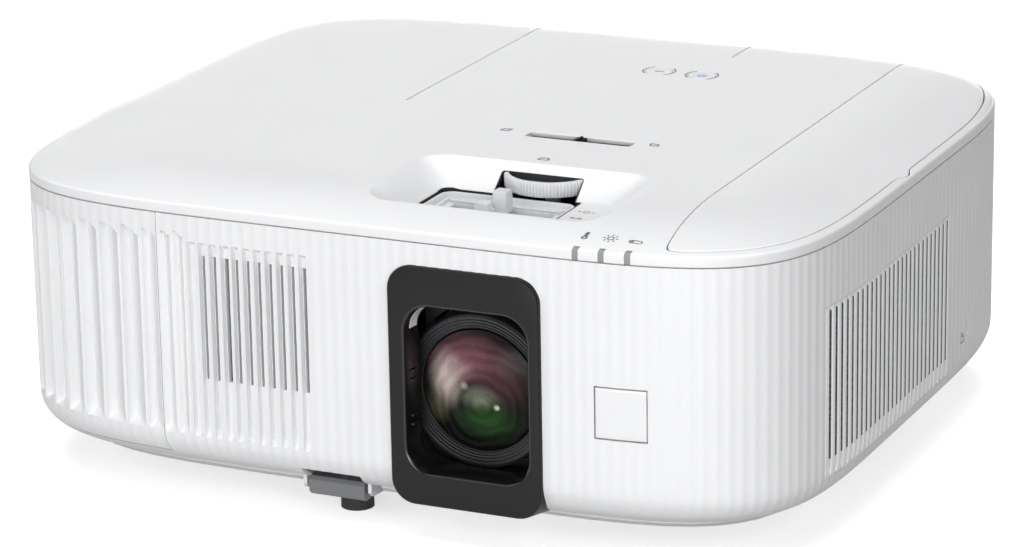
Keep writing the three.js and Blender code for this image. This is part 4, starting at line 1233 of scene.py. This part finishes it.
def build_lever():
    """Focus lever: an upright block with a lower step in front of it."""
    x, y = 32.0, -87.2
    shape = Shape()
    block = [(3.0, 3.25, 111.4), (3.0, 3.25, 115.0), (2.7, 2.9, 119.6)]
    shape.rings([flat_loop(rounded(x, y, 2 * w, 2 * d, 0.4, 3), z) for w, d, z in block])
    step = [(2.75, 3.0, 111.4), (2.75, 3.0, 115.0), (2.5, 2.7, 115.9)]
    shape.rings([flat_loop(rounded(x - 5.3, y - 5.0, 2 * w, 2 * d, 0.4, 3), z) for w, d, z in step])
    shape.box(x - 3.6, x - 1.5, y - 5.2, y - 1.0, 111.45, 113.6)
    shape.box(x - 1.5, x + 1.5, y - 1.5, y + 1.5, 93, 111.5)
    bevel(shape.make("focus_lever_block", MATERIALS["tray"], body="focus_lever_body", slot="tray_white",
                     replaces=("focus_lever",)), 0.25)


def build_tray():
    """The stepped tray under the control window, with the slot that the lever runs in."""
    x, y, r = WINDOW["x"], WINDOW["y"], WINDOW["r"]
    w, d = WINDOW["width"] - 2 * TRAY_GAP, WINDOW["height"] - 2 * TRAY_GAP
    floor = 111.2

    def loop(inset, z):
        return flat_loop(rounded(x, y, w - 2 * inset, d - 2 * inset, max(r - inset, 0.6), 6), z)

    shape = Shape()
    steps = ((0.0, 108.5), (0.0, 113.85), (0.25, 114.25), (1.2, 114.25), (1.6, 113.85), (2.2, 112.4),
             (3.4, 112.4), (3.8, floor))
    shape.rings([loop(inset, z) for inset, z in steps], cap_end=False)
    left, right = x - w / 2 + 3.8, x + w / 2 - 3.8
    low, high = y - d / 2 + 3.8, y + d / 2 - 3.8
    slot_low, slot_high = -90.4, -84.2
    shape.box(left, right, low, slot_low, 109.5, floor)
    shape.box(left, right, slot_high, high, 109.5, floor)
    shape.box(left, left + 3, slot_low, slot_high, 109.5, floor)
    shape.box(right - 3, right, slot_low, slot_high, 109.5, floor)
    shape.box(left + 1, right - 1, high - 1.8, high, floor, floor + 1.1)
    shape.make("control_tray_steps", MATERIALS["tray"], slot="tray_white", replaces=("control_tray",))
    # Black plates under the gap round the tray: a dark sheet that paints the shade in that gap.
    tray_shade_plate = Shape()
    wide, deep = WINDOW["width"] / 2 + 1.5, WINDOW["height"] / 2 + 1.5
    for x0, x1, y0, y1 in ((x - wide, x + wide, y + d / 2 - 0.5, y + deep),
                           (x - wide, x + wide, y - deep, y - d / 2 + 0.5),
                           (x - wide, x - w / 2 + 0.5, y - deep, y + deep),
                           (x + w / 2 - 0.5, x + wide, y - deep, y + deep)):
        tray_shade_plate.box(x0, x1, y0, y1, 107.6, 109.4)
    tray_shade_plate.make("control_tray_shade_plate", MATERIALS["black"], slot="black_plastic")
    # Black band down the inside of the window's edge: painted shade on the walls of the opening.
    edge = dense(window_loop(), 1.0)
    rings = []
    for inset, drop in ((0.04, 2.6), (0.04, 0.12), (0.4, 0.12), (0.4, 2.6)):
        line = offset_loop(edge, -inset)
        rings.append(np.column_stack([line, lid_height(edge) - drop]))
    window_shade_band = Shape().rings(rings + [rings[0]], False, False)
    window_shade_band.make("control_window_shade_band", MATERIALS["black"], slot="black_plastic")


def build_buttons():
    for name, (x, y) in BUTTONS.items():
        top = CROWN_Z
        profile = [(BUTTON_R + 1.2, 119.2), (BUTTON_R + 1.2, 121.0), (BUTTON_R - 0.32, 121.0),
                   (BUTTON_R - 0.32, top - 0.55), (BUTTON_R - 0.45, top - 0.25), (BUTTON_R - 0.8, top - 0.1),
                   (BUTTON_R - 1.6, top - 0.12), (BUTTON_R - 3.0, top - 0.22), (0.6, top - 0.3)]
        shape = Shape().rings(column_loops(profile, x, y, 64))
        body = f"{name}_button_body"
        shape.make(f"{name}_button_cap", MATERIALS["white"], body=body, slot="white_plastic",
                   replaces=(f"{name}_button",))
        if name == "power":
            mark_ring(f"{name}_mark", x, y, 1.9, 1.5, top - 0.24, MATERIALS["blue"], body, 60)
            bar = Shape().box(x - 0.2, x + 0.2, y + 0.4, y + 2.4, top - 0.25, top - 0.18)
            bar.make(f"{name}_mark_bar", MATERIALS["blue"], body=body)
        else:
            bar = Shape().box(x - 1.9, x + 1.9, y - 0.35, y + 0.35, top - 0.26, top - 0.18)
            bar.make(f"{name}_mark", MATERIALS["print"], body=body)


def mark_ring(name, x, y, outer, inner, z, material, body, gap=0.0):
    """A thin printed ring, open at the far side by a gap in degrees."""
    start, end = math.radians(90 + gap / 2), math.radians(450 - gap / 2)
    t = np.linspace(start, end, 40)
    loops = [np.column_stack([x + r * np.cos(t), y + r * np.sin(t), np.full(40, h)])
             for r, h in ((inner, z), (inner, z + 0.06), (outer, z + 0.06), (outer, z))]
    ring = Shape().rings(loops + [loops[0]], False, False, closed=gap == 0)
    ring.make(name, material, body=body)


def build_bracket():
    """The front foot's bracket: thin cheeks, a roof and the guide of the leg."""
    low, high = node_box("front_foot_bracket")
    foot_x, foot_y = -14.5, -122.0
    shape = Shape()
    profile = [(low[1] + 0.4, 22.0), (low[1] + 0.4, 11.0), (low[1] + 2.5, 9.2), (high[1] - 9, low[2] + 0.9),
               (high[1], 13.0), (high[1], 30.0), (low[1] + 0.4, 30.0)]
    for x in (low[0] + 0.6, high[0] - 2.2):
        shape.rings([np.array([(x + dx, y, z) for y, z in profile]) for dx in (0.0, 1.6)])
    shape.box(low[0] + 0.6, high[0] - 0.6, low[1] + 0.4, high[1], 30.0, high[2] - 1)
    profile = [(4.5, high[2] - 0.5), (4.5, 17.0), (7.0, 17.0), (7.0, high[2] - 0.5)]
    guide = column_loops(profile, foot_x, foot_y, 40)
    shape.rings(guide + [guide[0]], False, False)
    bevel(shape.make("front_foot_bracket_cheeks", MATERIALS["tray"], slot="white_plastic",
                     replaces=("front_foot_bracket",)), 0.25)


def build_keystone():
    """The slide in its slot: a dark bed and the ribbed knob."""
    x, y = KEY["x"], KEY["y"]
    wide, deep = KEY["width"] / 2 + 1.5, KEY["height"] / 2 + 1.5
    bed = 122.35
    plate = Shape()
    plate.box(x - wide, x + wide, y - deep, y + deep, bed - 1.2, bed - 0.4)
    plate.box(x - wide + 1.7, x + wide - 1.7, y - deep + 1.7, y + deep - 1.7, bed - 0.5, bed)
    plate.make("keystone_slot_bed", MATERIALS["black"], slot="black_plastic")
    knob = Shape()
    for i in range(3):
        cx = x - 1.5 + 1.5 * i
        rise = 0.55 * (1 - abs(i - 1))
        knob.rings([flat_loop(rounded(cx, y, 1.4, 5.0, 0.3, 3), bed + 0.06),
                    flat_loop(rounded(cx, y, 1.3, 4.8, 0.3, 3), 123.7 + rise),
                    flat_loop(rounded(cx, y, 0.7, 4.2, 0.2, 3), 124.0 + rise)])
    knob.box(x - 2.1, x + 2.1, y - 2.2, y + 2.2, bed + 0.05, bed + 0.7)
    knob.make("keystone_slider_knob", MATERIALS["charcoal"], body="keystone_slider_body",
              slot="grey_plastic", replaces=("keystone_slider",))


def front_at(x, inset):
    """y of the outline at the front, for an x and an inset."""
    return MIDDLE_Y - (HALF_Y - inset) * (1 - (abs(x) / (HALF_X - inset)) ** POWER) ** (1 / POWER)


def build_indicators():
    """Light strips that follow the lip from the seam up onto the lid."""
    for name, x in (("power", 86.1), ("lamp", 95.9), ("temperature", 105.7)):
        rim = float(crown(np.array([[x, front_at(x, RIM_INSET)]]))[0])
        curve = list(reversed(lip_rows(rim)))[1:] + [(RIM_INSET, rim)]
        curve += [(i, float(crown(np.array([[x, front_at(x, i)]]))[0])) for i in (1.7, 2.3)]
        rows = []
        for k, (inset, z) in enumerate(curve):
            before, after = curve[max(k - 1, 0)], curve[min(k + 1, len(curve) - 1)]
            run, rise = after[0] - before[0], after[1] - before[1]
            length = math.hypot(run, rise)
            for dx in (-1.25, -1.05, 0.0, 1.05, 1.25):
                lift = -0.1 if abs(dx) > 1.1 else 0.12
                y = front_at(x + dx, inset) - lift * rise / length
                rows.append((x + dx, y, z + lift * run / length))
        outer = np.array(rows)
        inner = outer + np.array([0, 0.9, -0.9])
        n = 5
        faces = [(k * n + i, k * n + i + 1, (k + 1) * n + i + 1, (k + 1) * n + i)
                 for k in range(len(curve) - 1) for i in range(n - 1)]
        verts, faces = thicken(outer, inner, faces)
        make(f"{name}_indicator_strip", verts, faces, MATERIALS["indicator"], slot="indicator_plastic",
             replaces=(f"{name}_indicator",))


# ---- printed marks --------------------------------------------------------------------------


def mark(name, strokes, place, width=0.35, material="print", body="case"):
    """Thin raised strokes on a surface; place turns flat points into surface points and normals."""
    shape = Shape()
    for stroke in strokes:
        line = dense_line(np.array(stroke, float), 0.35)
        ahead, behind = np.roll(line, -1, 0), np.roll(line, 1, 0)
        ahead[-1], behind[0] = line[-1], line[0]
        run = ahead - behind
        run /= np.maximum(np.linalg.norm(run, axis=1, keepdims=True), 1e-9)
        side = np.stack([run[:, 1], -run[:, 0]], -1) * width / 2
        loops = []
        for offset, lift in ((side, -0.05), (side, 0.05), (-side, 0.05), (-side, -0.05)):
            loops.append(place(line + offset, lift))
        n = len(line)
        verts = np.concatenate(loops)
        shape.add(verts, bar_faces(n, ((0, 1), (1, 2), (2, 3), (3, 0)), reverse=True))
    shape.make(name, MATERIALS[material], body=body)


def dense_line(points, step):
    out = [points[0]]
    for a, b in zip(points[:-1], points[1:]):
        n = max(1, int(np.linalg.norm(b - a) / step))
        out.extend(a + (b - a) * i / n for i in range(1, n + 1))
    return np.array(out)


def on_lid(x, y):
    """Placer for marks on the lid, round a centre."""
    def place(points, lift):
        p = points + np.array([x, y])
        return np.column_stack([p, lid_height(p) + lift])
    return place


def on_right(y, z):
    """Placer for marks on the right side, round a centre."""
    def place(points, lift):
        ys, zs = points[:, 0] + y, points[:, 1] + z
        s = np.array([s_side(v, 1) for v in ys])
        angle = angle_of(s)
        depth = relief(s, zs)
        base = plan_points(angle, 0) - normals_at(angle) * (depth - lift)[:, None]
        return np.column_stack([base, zs])
    return place


def arc(radius, start, end, x=0.0, y=0.0, steps=14):
    t = np.radians(np.linspace(start, end, steps))
    return [(x + radius * math.cos(a), y + radius * math.sin(a)) for a in t]


def build_marks():
    for name, (x, y) in BUTTONS.items():
        arcs = [arc(BUTTON_R + 0.75, a, b) for a, b in ((128, 232), (-52, 52))]
        mark(f"{name}_button_arcs", arcs, on_lid(x, y), 0.6)
    wide = [[(-2.2, -1.3), (2.2, -1.3), (1.4, 1.3), (-1.4, 1.3), (-2.2, -1.3)]]
    leaning = [[(-2.0, -1.3), (1.2, -1.6), (2.0, 1.3), (-1.2, 0.9), (-2.0, -1.3)]]
    mark("keystone_mark_left", leaning, on_lid(4.2, -22.7), 0.8)
    mark("keystone_mark_right", [[(-x, y) for x, y in leaning[0]]], on_lid(66.8, -22.9), 0.8)
    mark("keystone_mark_middle", wide, on_lid(35.4, -56.4), 0.8)
    gauge = [arc(0.9, 0, 360, 0, -1.6), [(-0.35, -0.8), (-0.35, 2.2), (0.35, 2.2), (0.35, -0.8)]]
    mark("temperature_mark", gauge, on_lid(86.0, -132.7), 0.8)
    rays = [[(1.9 * math.cos(a), 1.9 * math.sin(a)), (2.9 * math.cos(a), 2.9 * math.sin(a))]
            for a in np.radians(np.arange(0, 360, 45))]
    mark("lamp_mark", [arc(1.15, 0, 360)] + rays, on_lid(95.6, -132.6), 0.5)
    capsule = arc(0.95, 90, 270, -1.5) + arc(0.95, -90, 90, 1.5)
    mark("power_mark_strip", [capsule + capsule[:1], arc(0.4, 0, 360, -1.3)], on_lid(105.3, -132.8), 0.5)
    heads = [[(side * 1.2, 0.9), (side * 2.2, 0), (side * 1.2, -0.9)] for side in (-1, 1)]
    arrows = [[(-2.2, 0), (2.2, 0)]] + heads
    mark("zoom_mark_wide", [arc(1.1, 0, 360, 0), [(-3.4, 0), (-1.9, 0)], [(1.9, 0), (3.4, 0)]],
         on_lid(66.8, -88.5), 0.42)
    mark("focus_mark", arrows, on_lid(66.2, -97.0), 0.42)
    lock = [[(-1.6, -2.2), (1.6, -2.2), (1.6, 0.4), (-1.6, 0.4), (-1.6, -2.2)], arc(1.05, 0, 180, 0, 0.6)]
    mark("security_mark", lock, on_right(53.0, 35.4), 0.6, "grey")


# ---- stage, camera, lights ------------------------------------------------------------------


def build_stage():
    """A pale floor that glows, so that the ground is white, and that diffuse rays don't see."""
    size = 6000.0
    shape = Shape()
    shape.add([(-size, -size, 0), (size, -size, 0), (size, size, 0), (-size, size, 0)], [(0, 1, 2, 3)])
    mesh = bpy.data.meshes.new("floor")
    mesh.from_pydata((np.array(shape.verts) * MM).tolist(), [], shape.faces)
    floor = bpy.data.objects.new("floor", mesh)
    bpy.context.scene.collection.objects.link(floor)
    paint = plastic("pale_floor", (0.86, 0.86, 0.865), 0.7, grain=300.0, relief=0.0, vary=0.004)
    shader = paint.node_tree.nodes["Principled BSDF"]
    shader.inputs["Emission Color"].default_value = (1, 1, 1, 1)
    shader.inputs["Emission Strength"].default_value = 0.62
    floor.visible_diffuse = False
    mesh.materials.append(paint)


def build_camera():
    azimuth, elevation, roll = math.radians(24.7), math.radians(17.04), math.radians(-0.96)
    distance = 1614.2
    target = Vector((0, MIDDLE_Y, 62.0)) * MM
    back = Vector((math.sin(azimuth) * math.cos(elevation), -math.cos(azimuth) * math.cos(elevation),
                   math.sin(elevation)))
    right = Vector((math.cos(azimuth), math.sin(azimuth), 0))
    up = back.cross(right)
    side = right * math.cos(roll) + up * math.sin(roll)
    top = up * math.cos(roll) - right * math.sin(roll)
    data = bpy.data.cameras.new("camera")
    camera = bpy.data.objects.new("camera", data)
    bpy.context.scene.collection.objects.link(camera)
    place = Matrix((side, top, back)).transposed().to_4x4()
    place.translation = target + back * distance * MM
    camera.matrix_world = place
    data.sensor_width = 36.0
    data.lens = 142.1
    data.shift_x, data.shift_y = -0.0121, -0.0093
    data.clip_end = 50.0
    bpy.context.scene.camera = camera


def area_light(name, place, target, size, power):
    data = bpy.data.lights.new(name, "AREA")
    data.shape = "RECTANGLE"
    data.size, data.size_y = size
    data.energy = power
    light = bpy.data.objects.new(name, data)
    bpy.context.scene.collection.objects.link(light)
    light.location = place
    light.rotation_euler = (Vector(target) - Vector(place)).to_track_quat("-Z", "Y").to_euler()


def build_lights():
    world = bpy.data.worlds.new("studio")
    world.use_nodes = True
    background = world.node_tree.nodes["Background"]
    background.inputs["Color"].default_value = (1, 1, 1, 1)
    background.inputs["Strength"].default_value = 0.06
    bpy.context.scene.world = world
    area_light("key", (-1.0, -1.5, 0.8), (0, 0, 0.06), (1.4, 1.0), 8.0)
    area_light("top", (-0.2, 0.2, 1.8), (0, 0, 0.1), (1.8, 1.6), 27.5)
    area_light("fill", (1.35, -1.25, 0.85), (0, 0, 0.06), (1.0, 1.0), 12.0)
    area_light("rear", (-0.7, 1.9, 0.2), (0, 0, 0.06), (1.6, 0.3), 10.0)
    area_light("front", (0.45, -1.9, 0.22), (0, 0, 0.06), (1.4, 0.5), 23.0)
    bpy.context.scene.view_settings.view_transform = "Standard"


dress_cad_nodes()
build_skirt()
build_exhaust_grille()
build_filter_cover()
build_dust_mesh()
build_exhaust_screen()
build_lid()
build_cover()
build_bezel()
build_lens()
build_front_window()
build_wheel()
build_lever()
build_tray()
build_buttons()
build_bracket()
build_keystone()
build_indicators()
build_marks()
build_stage()
build_camera()
build_lights()
